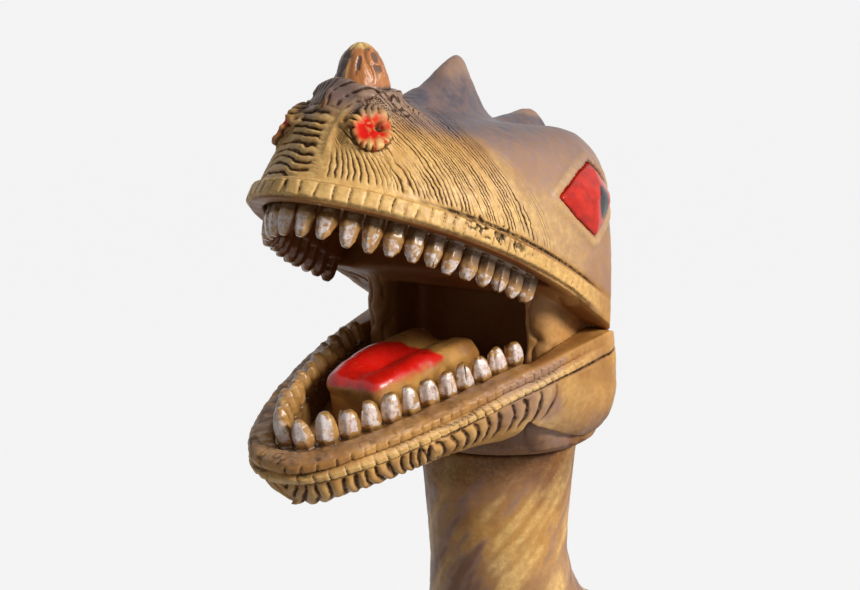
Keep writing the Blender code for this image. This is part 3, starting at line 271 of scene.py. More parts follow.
def curve_value(table, at):
    """A smooth curve through a table of (place, value) pairs, read at many places."""
    places, values = (np.array(column, float) for column in zip(*table))
    slopes = np.gradient(values, places)
    at = np.clip(np.asarray(at, float), places[0], places[-1])
    left = np.clip(np.searchsorted(places, at, side="right") - 1, 0, len(places) - 2)
    span = places[left + 1] - places[left]
    t = (at - places[left]) / span
    return (
        values[left] * (1 + 2 * t) * (1 - t) ** 2
        + slopes[left] * span * t * (1 - t) ** 2
        + values[left + 1] * t * t * (3 - 2 * t)
        + slopes[left + 1] * span * t * t * (t - 1)
    )


def fade(low, high, value):
    """0 below low, 1 above high and smooth between them; falls instead where high is less than low."""
    t = np.clip((value - low) / (high - low), 0, 1)
    return t * t * (3 - 2 * t)


def bump(middle, reach, value):
    """A soft hill about middle that is gone beyond twice its reach."""
    return np.exp(-(((value - middle) / reach) ** 2))


def fade_mm(low, high, value):
    """fade() with its limits in millimetres, for a value in metres."""
    return fade(low * MM, high * MM, value)


def bump_mm(middle, reach, value):
    """bump() with its middle and reach in millimetres, for a value in metres."""
    return bump(middle * MM, reach * MM, value)


def largest(*values):
    return np.maximum.reduce(values)


def creases(phase, power=2.0):
    """1 at the bottom of a crease at each whole number of phase, and 0 on the rounded ridges between them."""
    return (1 - np.abs(np.sin(math.pi * phase))) ** power


def lattice(cells, seed):
    """A steady pseudo-random number from 0 to 1 for each whole-numbered cell."""
    x, y, z = (cells[:, k].astype(np.int64) for k in range(3))
    mixed = (x * 374761393 + y * 668265263 + z * 2147483647 + seed * 1442695041) & 0xFFFFFFFF
    mixed = ((mixed ^ (mixed >> 13)) * 1274126177) & 0xFFFFFFFF
    return ((mixed ^ (mixed >> 16)) & 0xFFFF) / 65535.0


def noise(points, size, seed=0):
    """Smooth noise from -1 to 1 with lumps of about the given size in millimetres."""
    place = points / (size * MM)
    cell = np.floor(place)
    part = place - cell
    part = part * part * (3 - 2 * part)
    total = np.zeros(len(points))
    for corner in range(8):
        offset = np.array([corner & 1, corner >> 1 & 1, corner >> 2 & 1])
        weight = np.prod(np.where(offset, part, 1 - part), axis=1)
        total += weight * lattice(cell + offset, seed)
    return total * 2 - 1


def layered(points, size, seed=0):
    """Three layers of noise, each half the size of the one before."""
    return sum(noise(points, size / 2**k, seed + k) / 2**k for k in range(3)) / 1.75


class Sculpt:
    """An even, dense copy of a solid part whose points can be pushed about, with painted masks."""

    def __init__(self, node, name, grain, smoothing):
        source = frame["nodes"][node]
        self.node = node
        self.piece = bpy.data.objects.new(name, source.data.copy())
        bpy.context.scene.collection.objects.link(self.piece)
        self.piece.data.materials.clear()
        remesh = self.piece.modifiers.new("even_faces", "REMESH")
        remesh.mode = "VOXEL"
        remesh.voxel_size = grain
        graph = bpy.context.evaluated_depsgraph_get()
        mesh = bpy.data.meshes.new_from_object(self.piece.evaluated_get(graph))
        self.piece.modifiers.clear()
        self.piece.data = mesh
        mesh.name = name
        self.mesh = mesh
        self.points = self.read("vertices", "co", 3)
        edges = np.zeros(len(mesh.edges) * 2, np.int64)
        mesh.edges.foreach_get("vertices", edges)
        self.edges = edges.reshape(-1, 2)
        ends = np.concatenate([self.edges[:, 0], self.edges[:, 1]])
        self.degree = np.maximum(np.bincount(ends, minlength=len(self.points)), 1)
        self.smooth(smoothing)

    def read(self, items, field, width):
        values = np.zeros(len(getattr(self.mesh, items)) * width, np.float32)
        getattr(self.mesh, items).foreach_get(field, values)
        return values.reshape(-1, width).astype(float)

    def averaged(self, values):
        """Each point's mean over its neighbours."""
        a, b = self.edges.T
        out = np.empty_like(values)
        for k in range(values.shape[1]):
            column = values[:, k]
            total = np.bincount(a, column[b], len(column)) + np.bincount(b, column[a], len(column))
            out[:, k] = total / self.degree
        return out

    def smooth(self, times, share=None):
        """Rounds the shape off; every second step grows it back, so that it keeps its size."""
        share = 1.0 if share is None else share[:, None]
        for k in range(times * 2):
            pull = 0.60 if k % 2 == 0 else -0.61
            self.points += share * pull * (self.averaged(self.points) - self.points)

    def melt(self, times, share):
        """Rounds the shape off strongly where share is 1, without growing it back."""
        for _ in range(times):
            self.points += 0.6 * share[:, None] * (self.averaged(self.points) - self.points)

    def normals(self):
        self.mesh.vertices.foreach_set("co", self.points.astype(np.float32).ravel())
        self.mesh.update()
        return self.read("vertices", "normal", 3)

    def push(self, heights):
        """Moves every point along its normal."""
        self.points += self.normals() * heights[:, None]

    def store(self, name, values):
        """Keeps a number for each point, which a material reads by name."""
        layer = self.mesh.attributes.new(name, "FLOAT", "POINT")
        layer.data.foreach_set("value", values.astype(np.float32))

    def paint(self, **masks):
        """Keeps masks, which run from 0 to 1."""
        for name, values in masks.items():
            self.store(name, np.clip(values, 0, 1))

    def finish(self, body, material):
        self.normals()
        self.mesh.polygons.foreach_set("use_smooth", np.ones(len(self.mesh.polygons), bool))
        self.mesh.materials.append(material)
        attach(self.piece, body)
        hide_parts(self.node)


def unturned(points, pitch):
    """x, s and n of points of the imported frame, for a lip that rises forward by pitch."""
    x, y, z = (points - np.array(HEAD_POINT)).T
    return x, -y * math.cos(pitch) + z * math.sin(pitch), y * math.sin(pitch) + z * math.cos(pitch)


def turned_back(x, s, n, pitch):
    """Directions of the lip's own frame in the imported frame."""
    y = -s * math.cos(pitch) + n * math.sin(pitch)
    z = s * math.sin(pitch) + n * math.cos(pitch)
    return np.stack([x, y, z], 1)


def snout_outline(s, widest, front, rear):
    """Half width of the skull's plan outline at s, as a share of the widest."""
    ahead = np.clip((s - widest) / (front - widest), 0, 1)
    behind = np.clip((widest - s) / (widest - rear), 0, 1)
    fore, aft = SNOUT_ROUNDING_SHARES
    nape = NAPE_ROUNDING_SHARE
    return np.where(s >= widest, (1 - ahead**fore) ** (1 / aft), (1 - behind**nape) ** (1 / nape))


def lip_line(s):
    """How far the upper lip arches above the straight line from the mouth corner to the tip."""
    share = np.clip(s / JAW_LENGTH, 0, 1)
    return LIP_ARCH * 4 * share * (1 - share)


def jaw_lip_line(s):
    """How far the lower lip arches above its own straight line."""
    corner = LOWER_JAW_LENGTH * CORNER_SHARE
    share = np.clip((s - corner) / (LOWER_JAW_LENGTH - corner), 0, 1)
    return JAW_ARCH * 4 * share * (1 - share)


def roof_line(s):
    """Height of the skull's roof above the straight line of the upper lip."""
    return SKULL_HEIGHT * curve_value(ROOF_SHARES, s / JAW_LENGTH)


def skull_swelling(x, s, n):
    """Height that the crest, horn mound and brows add to the plain skull."""
    share = s / JAW_LENGTH
    top = np.clip(n / roof_line(s), 0, 1) ** 4
    rise = CREST_HEIGHT * curve_value(CREST_SHARES, share) * bump(0.0, CREST_HALF_WIDTH, x) * top
    rise += MOUND_RISE * np.exp(-((np.hypot(x, s - HORN_ALONG) / MOUND_RADIUS) ** 4)) * top
    brow = bump(BROW_SHARES[0], BROW_SHARES[1], share)
    brow = brow * bump(BROW_SHARES[2], BROW_SHARES[3], np.abs(x) / HEAD_HALF_WIDTH)
    return rise + BROW_RISE * brow * np.sqrt(top)


def without_nostril(x, s, n):
    """Points with the nostril's rise taken away again."""
    plain = np.abs(x), s, n
    aside, ahead, up = NOSTRIL_SHARES
    for _ in range(3):
        near, along, high = plain
        reach = (near - aside * HEAD_HALF_WIDTH) ** 2 + (along - ahead * JAW_LENGTH) ** 2
        reach += (high - up * roof_line(along)) ** 2
        rise = NOSTRIL_RISE * np.exp(-((reach / NOSTRIL_RADIUS**2) ** 2))
        plain = tuple(value - share * rise for value, share in zip((np.abs(x), s, n), NOSTRIL_OUTWARD))
    return plain


def section_level(x, outline, height, power, ahead, rounding):
    """Less than nought inside a rounded section, which gives way to a rounded face at the tip."""
    fore, aft = rounding
    half = HEAD_HALF_WIDTH * np.maximum(outline, 0.02)
    side = (np.abs(x) / half) ** power + height**power - 1
    front = (1 - ahead**fore) * np.maximum(1 - height**power, 1e-4) ** (aft / power)
    face = (np.abs(x) / HEAD_HALF_WIDTH) ** aft - front
    return side + (face - side) * fade(0.75, 0.90, ahead) * fade(0.97, 0.85, height)


def skull_level(x, s, n):
    """Less than nought inside the smooth skull and more outside it."""
    x, s, n = without_nostril(x, s, n)
    n = n - skull_swelling(x, s, n)
    roof = roof_line(s)
    up = np.clip((n - lip_line(s)) / (roof - lip_line(s)), 0, 1.5)
    front = JAW_LENGTH - SNOUT_LEAN * up
    rear = JAW_LENGTH * curve_value(REAR_SHARES, up)
    widest = JAW_LENGTH * WIDEST_SHARE + roof * up * math.tan(SKULL_PITCH)
    outline = snout_outline(s, widest, front, rear)
    power = curve_value(SECTION_SHARES, s / JAW_LENGTH)
    ahead = np.clip((s - widest) / (front - widest), 0, 1.3)
    return section_level(x, outline, up, power, ahead, SNOUT_ROUNDING_SHARES)


def jaw_level(x, s, n):
    """Less than nought inside the smooth lower jaw and more outside it."""
    depth = JAW_DEPTH * curve_value(JAW_DEPTH_SHARES, s / JAW_LENGTH)
    down = np.clip((jaw_lip_line(s) - n) / (depth + jaw_lip_line(s)), 0, 1.5)
    plan = np.where(s > 0, s / (1 - CHIN_RETREAT_SHARE * down**2), s)
    rear, widest = JAW_REAR_SHARE * JAW_LENGTH, JAW_LENGTH * WIDEST_SHARE
    ahead = np.clip(plan / LOWER_JAW_LENGTH, 0, 1.3)
    behind = np.clip((widest - plan) / (widest - rear), 0, 1)
    fore, aft = JAW_ROUNDING_SHARES
    end = LOBE_ROUNDING_SHARE
    outline = np.maximum(1 - ahead**fore, 0) ** (1 / aft) * (1 - behind**end) ** (1 / end)
    power = curve_value(JAW_SECTION_SHARES, s / JAW_LENGTH)
    return section_level(x, outline, down, power, ahead, JAW_ROUNDING_SHARES)


def settle(sculpt, level, pitch, reach):
    """Draws the points of the outer skin onto a smooth surface. Returns which points belong to that skin."""
    share = np.ones(len(sculpt.points))
    for turn in range(4):
        x, s, n = unturned(sculpt.points, pitch)
        value = level(x, s, n)
        step = 0.05 * MM
        slope = np.stack(
            [
                (level(x + step, s, n) - level(x - step, s, n)) / (2 * step),
                (level(x, s + step, n) - level(x, s - step, n)) / (2 * step),
                (level(x, s, n + step) - level(x, s, n - step)) / (2 * step),
            ]
        )
        steepness = np.maximum(np.linalg.norm(slope, axis=0), 1e-6)
        gap = value / steepness
        outward = turned_back(*(slope / steepness), pitch)
        if turn == 0:
            facing = np.sum(sculpt.normals() * outward, axis=1)
            share = fade(0.55, 0.85, facing) * fade(reach, reach * 0.6, np.abs(gap))
        sculpt.points -= outward * (np.clip(gap, -reach, reach) * share)[:, None]
    return share


def around(x, s, length, half_table):
    """Distance round the snout from its tip, by a point's direction as seen from the mouth's middle."""
    turn = np.arctan2(np.abs(x) / HEAD_HALF_WIDTH, np.clip(s / length, 0.0, None))
    return np.interp(turn, *half_table)


def round_table(outline, length):
    """Pairs of direction and distance round a lip, from the tip to the mouth corner."""
    s = length * np.sin(np.linspace(0, math.pi / 2, 400))[::-1]
    x = HEAD_HALF_WIDTH * outline(s)
    gone = np.concatenate([[0], np.cumsum(np.hypot(np.diff(x), np.diff(s)))])
    turn = np.arctan2(x / HEAD_HALF_WIDTH, s / length)
    return turn, gone


def upper_outline(s):
    """Half width of the upper lip's plan outline, as a share of the widest."""
    widest = JAW_LENGTH * WIDEST_SHARE
    return snout_outline(np.maximum(s, widest), widest, JAW_LENGTH, -JAW_LENGTH)


def lower_outline(s):
    """The same for the lower lip."""
    ahead = np.clip(s / LOWER_JAW_LENGTH, 0, 1)
    fore, aft = JAW_ROUNDING_SHARES
    return (1 - ahead**fore) ** (1 / aft)


UPPER_ROUND = round_table(upper_outline, JAW_LENGTH)
LOWER_ROUND = round_table(lower_outline, LOWER_JAW_LENGTH)


class Lines:
    """Families of engraved lines on one skin: where each has its grooves and how strong it is."""

    def __init__(self, count):
        self.phase = np.zeros(count)
        self.share = np.zeros(count)

    def add(self, phase, share):
        """Puts in a family wherever it is stronger than those before it."""
        wins = share > self.share
        self.phase = np.where(wins, phase, self.phase)
        self.share = np.where(wins, share, self.share)

    def grooves(self, power=1.5):
        return creases(self.phase, power) * self.share

    def paint(self, sculpt):
        """Keeps both on the points, for the material to draw the lines from."""
        sculpt.store("phase", self.phase)
        sculpt.paint(share=self.share)


def rosette(x, s, n, points):
    """The raised, folded ring about each nostril: relief, dark, red and bright masks, and what it covers."""
    aside, ahead, up = np.abs(x) - ROSETTE_CENTRE[0], s - ROSETTE_CENTRE[1], n - ROSETTE_CENTRE[2]
    along = aside * math.cos(ROSETTE_TURN) - ahead * math.sin(ROSETTE_TURN) - ROSETTE_SHIFT
    out = aside * math.sin(ROSETTE_TURN) + ahead * math.cos(ROSETTE_TURN)
    near = fade_mm(9, 7.5, np.abs(out))
    reach = np.hypot(along / ROSETTE_SIZE[0], up / ROSETTE_SIZE[1])
    angle = np.arctan2(up, along)
    folds = creases(angle * ROSETTE_FOLDS / (2 * math.pi) + 0.75 * noise(points, 3, 11), 1.5)
    folds *= 0.75 + 0.25 * fade_mm(-2.2, 0.5, up + 0.4 * np.abs(along))
    ring = bump(0.84, 0.24, reach) * near * (0.85 + 0.35 * noise(points, 3, 12))
    long = along * math.cos(BOWL_TILT) + up * math.sin(BOWL_TILT)
    short = up * math.cos(BOWL_TILT) - along * math.sin(BOWL_TILT)
    wobble = 0.10 * np.sin(angle * 7 + 1) + 0.12 * noise(points, 1.6, 5)
    bowl_reach = np.hypot(long / BOWL_SIZE[0], short / BOWL_SIZE[1]) + wobble
    bowl = fade(1.15, 0.65, bowl_reach) * near
    hole_reach = np.hypot(along - ROSETTE_HOLE[0] + ROSETTE_SHIFT, up - ROSETTE_HOLE[1]) / (1.7 * MM)
    hole = np.exp(-(hole_reach**4)) * near
    lower = fade_mm(0.5, -2.0, up)
    edge = bump(1.02, 0.06, reach) * near * lower
    petals = folds * bump(0.92, 0.28, reach) * near * (1 - bowl)
    relief = ring * 1.25 * MM - petals * 1.2 * MM - bowl * 0.9 * MM - hole * 2.0 * MM - edge * 0.5 * MM
    strokes = creases(angle * ROSETTE_STROKES / (2 * math.pi) + 0.2 + 0.2 * noise(points, 3, 6), 1.8)
    strokes *= fade(1.04, 0.88, reach + wobble) * fade_mm(1.5, -0.5, up - 0.8 * along) * near
    speckle = fade(0.1, 0.5, noise(points, 0.9, 7)) * fade_mm(2, 0.5, np.abs(long)) * bowl
    red = np.maximum(bowl * (1 - 0.7 * speckle), 0.9 * strokes) * (1 - hole)
    dark = largest(hole, edge * 0.8, np.minimum(petals * 1.3, 1) * (1 - 0.8 * strokes))
    knot_reach = np.hypot(along + 6.4 * MM, (up - 0.4 * MM) * 0.8) / (1.5 * MM)
    knot_reach += 0.25 * noise(points, 1.8, 10)
    knot = bump(0.6, 0.35, knot_reach) * near
    relief += knot * 0.5 * MM
    dark = np.maximum(dark, 0.45 * near * (bump(1.15, 0.14, knot_reach) + fade(0.35, 0.1, knot_reach)))
    inside = near * fade(1.05, 0.95, reach)
    return relief, dark, red * fade(1.05, 0.95, reach), ring * (1 - petals), np.maximum(inside, knot)


def nicks(place, height, points, seed):
    """Dark nicks across a lip's band, closer together towards the rear."""
    wobble = 0.30 * noise(points, 9, seed) + 0.08 * noise(points, 1.5, seed + 1)
    steps = place / NICK_PITCH * (1 + place * NICK_CROWDING)
    slant = 0.10 * (height - 0.5)
    cut = creases(steps + wobble + slant, 5)
    strength = 0.75 + 0.5 * noise(points, 5, seed + 2)
    return cut * np.clip(strength, 0.50, 1) * fade(0.0, 0.3, height) * fade(1.1, 0.85, height)


def unsteady(points, seed):
    """A small wander, in line widths, that keeps engraved lines from running straight."""
    return 0.22 * noise(points, 6, seed) + 0.10 * noise(points, 1.8, seed + 1)


def skull_relief(points):
    """Heights, engraved lines and masks of the skull's sculpted skin."""
    x, s, n = unturned(points, SKULL_PITCH)
    roof = roof_line(s)
    lip = n - lip_line(s)
    height = lip / LIP_HEIGHT
    share = s / JAW_LENGTH
    place = around(x, s, JAW_LENGTH, UPPER_ROUND)
    tip = fade(0.0, 0.25, share)
    above = fade(1.12, 1.4, height)
    wobble = unsteady(points, 1)
    rose, rose_dark, red, rose_bright, covered = rosette(x, s, n, points)
    plain = 1 - covered

    # The lip's band with its nicks
    band = fade(-0.02, 0.22, height) * fade(1.06, 0.80, height)
    edge = bump(1.10, 0.11, height) * tip
    edge *= fade_mm(20, 46, place + 14 * MM * noise(points, 6, 22))
    cut = nicks(place, height, points, 21) * tip
    relief = (LIP_PROUD + 0.3 * MM) * band * tip - 0.5 * MM * edge - 0.9 * MM * cut
    relief += 0.35 * MM * band * tip * layered(points, 3.5, 27)

    # Folds across the snout's front, and the smooth strip beside them
    lines = Lines(len(points))
    ahead = fade(0.66, 0.78, share)
    strip_place = STRIP_PLACE + 0.5 * MM * np.sin(lip / (4 * MM))
    far_end = -6 * MM - 9 * MM * fade_mm(17, 13, lip)
    front_phase = lip / FRONT_PITCH + 1.6 * wobble + 0.3 * np.sin(x / (5 * MM))
    front_phase += 0.35 * noise(points * (0.5, 1, 1), 4, 23)
    teeth_end = strip_place + 1.2 * MM - (1.8 + 1.8 * np.cos(2 * math.pi * front_phase)) * MM
    front = fade(far_end - 4 * MM, far_end, x) * fade(teeth_end, teeth_end - 1.5 * MM, x) * ahead
    front *= fade_mm(29, 24, lip) * fade(1.05, 1.15, height)
    lines.add(front_phase, front * np.clip(0.85 + 0.5 * noise(points, 4, 26), 0.45, 1))
    strip = bump(strip_place, 0.9 * MM, x) * fade_mm(11, 16, lip) * ahead * fade_mm(34, 28, lip)

    # Streaks that flow back from the snout along the side
    near_side = fade(strip_place + 0.5 * MM, strip_place + 2.5 * MM, x)
    side_x = np.where(x > 0, near_side, fade(-far_end, 3 * MM - far_end, -x))
    bend = FLOW_BEND * np.maximum(lip, 0) ** 2
    flow = place + bend * fade_mm(10, 34, place + bend)
    tight = np.hypot(1, 2 * FLOW_BEND * lip)
    streak = np.stack([flow, lip * 0.30, np.where(x > 0, 0.0, 1.0)], 1)
    ragged = 0.5 * noise(points, 1.6, 24) + 0.3 * noise(points, 0.9, 25)
    below_nose = side_x * fade_mm(32, 16, place) * fade_mm(17, 13, lip) * above * 0.6
    under_phase = flow / UNDER_PITCH + 0.3 * wobble + 0.35 * noise(streak, 3, 3) + 0.25 * ragged
    lines.add(under_phase, below_nose)
    broken = np.clip(0.72 + 0.85 * noise(streak, 1.7, 8), 0.15, 1)
    far = fade_mm(92, 62, flow) * fade(0.10, 0.30, share) * fade_mm(43, 36, lip)
    beyond_nose = np.maximum(fade_mm(18, 30, place), fade_mm(14, 18, lip))
    flow_phase = flow / FLOW_PITCH + 1.2 * noise(streak, 5, 4) + 0.9 * wobble + 0.45 * ragged
    lines.add(flow_phase, side_x * far * above * broken * beyond_nose)
    top_streaks = fade_mm(24, 29, lip) * fade(0.74, 0.82, share)
    top_streaks *= fade(1.0, 0.85, np.abs(x) / (14 * MM)) * 0.9
    lines.add((x * 0.8 + s * 0.5) / (1.5 * MM) + 2 * wobble, top_streaks * broken)

    # The folded collar about the horn
    horn_reach = np.hypot(x, s - HORN_ALONG)
    on_top = fade(0.74, 0.86, n / roof)
    collar = bump_mm(11.4, 4.4, horn_reach) * on_top * fade_mm(10, 6, s - HORN_ALONG)
    folds = horn_reach / COLLAR_PITCH + 0.7 * noise(points * (1, 1, 0.4), 5, 31)
    folds += 0.25 * noise(points, 1.6, 32) + 0.35 * ragged
    lines.add(folds, np.minimum(collar * 1.8, 1) * np.clip(0.8 + 0.8 * noise(points, 3, 33), 0.3, 1))
    relief += collar * 0.7 * MM + 2.0 * MM * bump_mm(8.9, 1.7, horn_reach) * on_top

    lines.share *= plain
    grooves = lines.grooves()
    depth = sizes().crease_depth
    deep = fade(2.6, 1.6, tight * (place > 14 * MM)) + 1.7 * front + 0.5 * below_nose + 1.3 * collar
    relief += rose + strip * 0.45 * MM * plain - depth * grooves * deep
    relief += above * 0.15 * MM * layered(points, 2.5, 40) * plain

    # Cracks above the lip, the crest's skin, the eye's rim and the temple
    cracks_zone = bump(0.60, 0.13, share) * fade(0.2, 0.6, height) * fade(1.5, 1.2, height)
    cracks = fade(0.22, 0.04, np.abs(layered(points, 2.6, 60))) * cracks_zone
    relief -= 0.4 * MM * cracks
    rise = skull_swelling(x, s, n)
    fin = fade_mm(1.5, 5, rise) * fade(0.68, 0.62, share)
    relief += fin * 0.35 * MM * layered(points * (1, 1, 0.5), 4, 9)
    aside = np.abs(x) / HEAD_HALF_WIDTH
    eye = eye_distance(points)
    rim = bump_mm(1.8, 1.4, eye) * (aside > 0.6)
    lid = 0.8 * fade_mm(0.5, 0.1, eye) * (aside > 0.6)
    temple = bump(0.03, 0.17, share) * bump(0.80, 0.28, aside) * fade(0.62, 0.88, n / roof)
    relief += 0.7 * MM * rim + 2.4 * MM * temple

    # Paint: slate and its worn tips on the crest, a wash over the sides, and bright ridges
    high = np.clip(n / roof, 0, 1.2)
    blotch = layered(points, 12, 12)
    slate = fade(0.66, 0.88, high + 0.07 * blotch) * fade(0.76, 0.66, share) * fade(-0.16, 0.0, share)
    mound = fade(0.74, 0.90, high + 0.10 * noise(points, 5, 17)) * ahead
    slate = np.maximum(slate * fade(0.95, 0.45, aside), 0.65 * mound)
    worn_tip = fade_mm(9, 14, rise) * fade(0.2, 0.5, share)
    worn_tip += fade_mm(6.5, 9, rise) * fade(0.2, 0.1, share)
    raised = fade(0.45, 0.75, share)
    wash = fade(0.30, 0.62, high - 0.42 * raised + 0.16 * noise(points, 9, 13))
    rear = 0.85 * fade(0.60, 0.15, share + 0.12 * blotch) * fade(-0.2, 0.45, layered(points, 11, 14))
    wash = largest(wash, rear, fin, 0.72 * fade(0.72, 0.42, share)) * above
    bright = 0.9 * fade_mm(30, 11, lip + 5 * MM * noise(points, 7, 15)) * fade(0.10, 0.55, share)
    ridges = largest(0.9 * front, strip, rose_bright, 0.55 * collar, 0.4 * fade(0.3, 0.8, rim))
    bright = largest(bright, band * tip * (0.75 + 0.25 * ahead), ridges)
    masks = {
        "crease": largest(0.8 * edge, cut, rose_dark, cracks, lid),
        "slate": np.maximum(slate, fin) * (1 - 0.8 * worn_tip) * (1 - 0.4 * collar),
        "wash": wash * (1 - 0.85 * covered) * (1 - 0.4 * front),
        "red": red,
        "bright": bright * (1 - 0.7 * fade(0.66, 0.85, high - 0.12 * raised)),
    }
    return relief, lines, masks


def in_eye(points):
    """Places back and up from the eye's middle in the side view."""
    return points[:, 1] - HEAD_POINT.y - EYE_BACK, points[:, 2] - HEAD_POINT.z - EYE_RISE


def eye_distance(points):
    """Distance from the eye's diamond in the side view, less than nought inside it."""
    y, z = in_eye(points)
    corners = np.array(EYE_SHARES) * (EYE_HALF_LENGTH, EYE_HALF_HEIGHT)
    nearest = np.full(len(points), np.inf)
    inside = np.ones(len(points), bool)
    for a, b in zip(corners, np.roll(corners, -1, axis=0)):
        edge = b - a
        t = np.clip(((y - a[0]) * edge[0] + (z - a[1]) * edge[1]) / np.dot(edge, edge), 0, 1)
        nearest = np.minimum(nearest, np.hypot(y - a[0] - t * edge[0], z - a[1] - t * edge[1]))
        inside &= edge[0] * (z - a[1]) - edge[1] * (y - a[0]) > 0
    return np.where(inside, -nearest, nearest)


class Paint:
    """Writes the shader nodes of a new material, or of a world, in plain lines."""

    def __init__(self, name, family=None, shader="Principled BSDF"):
        self.owner = (bpy.data.materials if family is None else family).new(name)
        self.owner.use_nodes = True
        self.tree = self.owner.node_tree
        self.shader = self.tree.nodes[shader]

    def node(self, kind, inputs=(), **settings):
        made = self.tree.nodes.new(kind)
        for key, value in settings.items():
            setattr(made, key, value)
        for key, value in dict(inputs).items():
            self.feed(made.inputs[key], value)
        return made

    def feed(self, socket, value):
        if isinstance(value, bpy.types.NodeSocket):
            self.tree.links.new(value, socket)
        elif hasattr(value, "__len__") and socket.type == "RGBA":
            socket.default_value = (*value[:3], 1.0)
        else:
            socket.default_value = value

    def mask(self, name):
        return self.node("ShaderNodeAttribute", attribute_name=name).outputs["Fac"]

    def place(self):
        return self.node("ShaderNodeTexCoord").outputs["Object"]

    def noise(self, size, detail, roughness=0.55, distortion=0.0, stretch=None):
        """Noise with lumps of about the given size in millimetres."""
        place = self.place()
        if stretch:
            place = self.node("ShaderNodeVectorMath", {0: place, 1: stretch}, operation="MULTIPLY").outputs[0]
        inputs = {"Vector": place, "Scale": 1 / (size * MM), "Detail": detail, "Roughness": roughness}
        inputs["Distortion"] = distortion
        return self.node("ShaderNodeTexNoise", inputs).outputs["Fac"]

    def ranged(self, value, low, high, to_low=0.0, to_high=1.0):
        inputs = {0: value, 1: low, 2: high, 3: to_low, 4: to_high}
        return self.node("ShaderNodeMapRange", inputs, interpolation_type="SMOOTHSTEP").outputs[0]

    def spots(self, noise, *limits):
        """Soft spots out of noise, whose settings come first."""
        return self.ranged(self.noise(*noise), *limits)

    def maths(self, operation, a, b=0.0, clamp=False):
        return self.node("ShaderNodeMath", {0: a, 1: b}, operation=operation, use_clamp=clamp).outputs[0]

    def times(self, a, b):
        return self.maths("MULTIPLY", a, b, True)

    def most(self, a, b):
        return self.maths("MAXIMUM", a, b, True)

    def seen(self):
        """1 for rays that show a backdrop itself: from the camera, mirrored or through something clear."""
        rays = self.node("ShaderNodeLightPath").outputs
        return self.most(self.most(rays["Is Camera Ray"], rays["Is Glossy Ray"]), rays["Is Transmission Ray"])

    def mix(self, share, a, b):
        return self.node("ShaderNodeMix", {"Factor": share, 6: a, 7: b}, data_type="RGBA").outputs[2]

    def blend(self, share, a, b):
        """Between two plain numbers."""
        return self.node("ShaderNodeMix", {"Factor": share, 2: a, 3: b}).outputs[0]

    def surface(self, colour, roughness, height=None, relief=0.15 * MM, **fixed):
        self.feed(self.shader.inputs["Base Color"], colour)
        self.feed(self.shader.inputs["Roughness"], roughness)
        for name, value in fixed.items():
            self.shader.inputs[name.replace("_", " ")].default_value = value
        if height is not None:
            bump_node = self.node("ShaderNodeBump", {"Height": height, "Distance": relief, "Strength": 1.0})
            self.feed(self.shader.inputs["Normal"], bump_node.outputs[0])
        return self.owner


def skin_paint():
    """Ochre vinyl with a mauve-brown wash, dark paint in grooves, yellow on ridges, slate on the crest, and a
    dark brown for painted shade in the mouth and under the jaw and for the neck's streaks.
    """
    paint = Paint("painted_skin")
    c = colours()
    wave = paint.maths("SINE", paint.maths("MULTIPLY", paint.mask("phase"), math.pi))
    groove = paint.maths("SUBTRACT", 1.0, paint.maths("ABSOLUTE", wave), True)
    line = paint.times(paint.maths("POWER", groove, 1.6, True), paint.mask("share"))
    patches = paint.spots((14, 4), 0.35, 0.65)
    base = paint.mix(patches, c.ochre, c.tan)
    specks = paint.spots((1.6, 4, 0.7), 0.42, 0.62)
    base = paint.mix(paint.times(specks, 0.40), base, c.tan)
    worn = paint.spots((2.0, 4, 0.65), 0.30, 0.62, 1.0, 0.45)
    ridge = paint.times(paint.mask("bright"), paint.ranged(line, 0.05, 0.35, 1.0, 0.15))
    wash_break = paint.spots((2.2, 5, 0.7, 0.5), 0.30, 0.62, 0.50, 1.0)
    wash = paint.times(paint.mask("wash"), wash_break)
    base = paint.mix(wash, base, c.wash)
    base = paint.mix(paint.times(ridge, worn), base, c.bright)
    slate_break = paint.spots((5, 4, 0.6), 0.30, 0.65, 1.0, 0.65)
    base = paint.mix(paint.times(paint.mask("slate"), slate_break), base, c.slate)
    dark_break = paint.spots((1.1, 3), 0.30, 0.60, 0.60, 1.0)
    marks = paint.most(paint.ranged(paint.mask("crease"), 0.15, 0.70), paint.ranged(line, 0.06, 0.46))
    dark = paint.times(marks, dark_break)
    base = paint.mix(dark, base, c.crease)
    base = paint.mix(paint.mask("red"), base, c.red)
    # Painted shade in the mouth and under the jaw, and the neck's dark streaks, in the throat's brown
    base = paint.mix(paint.mask("gloom"), base, c.throat)
    fine = paint.noise(0.55, 4, 0.6)
    coarse = paint.noise(3, 3)
    height = paint.maths("SUBTRACT", paint.blend(0.35, fine, coarse), paint.maths("MULTIPLY", line, 1.8))
    rough = paint.spots((5, 4), 0.3, 0.7, 0.40, 0.56)
    rough = paint.blend(dark, rough, 0.70)
    hidden = paint.most(paint.most(paint.mask("gloom"), dark), paint.mask("red"))
    paint.feed(paint.shader.inputs["Specular IOR Level"], paint.ranged(hidden, 0.0, 1.0, 0.36, 0.08))
    return paint.surface(base, rough, height, 0.10 * MM, Coat_Weight=0.06, Coat_Roughness=0.25)


def skin_material():
    return bpy.data.materials.get("painted_skin") or skin_paint()


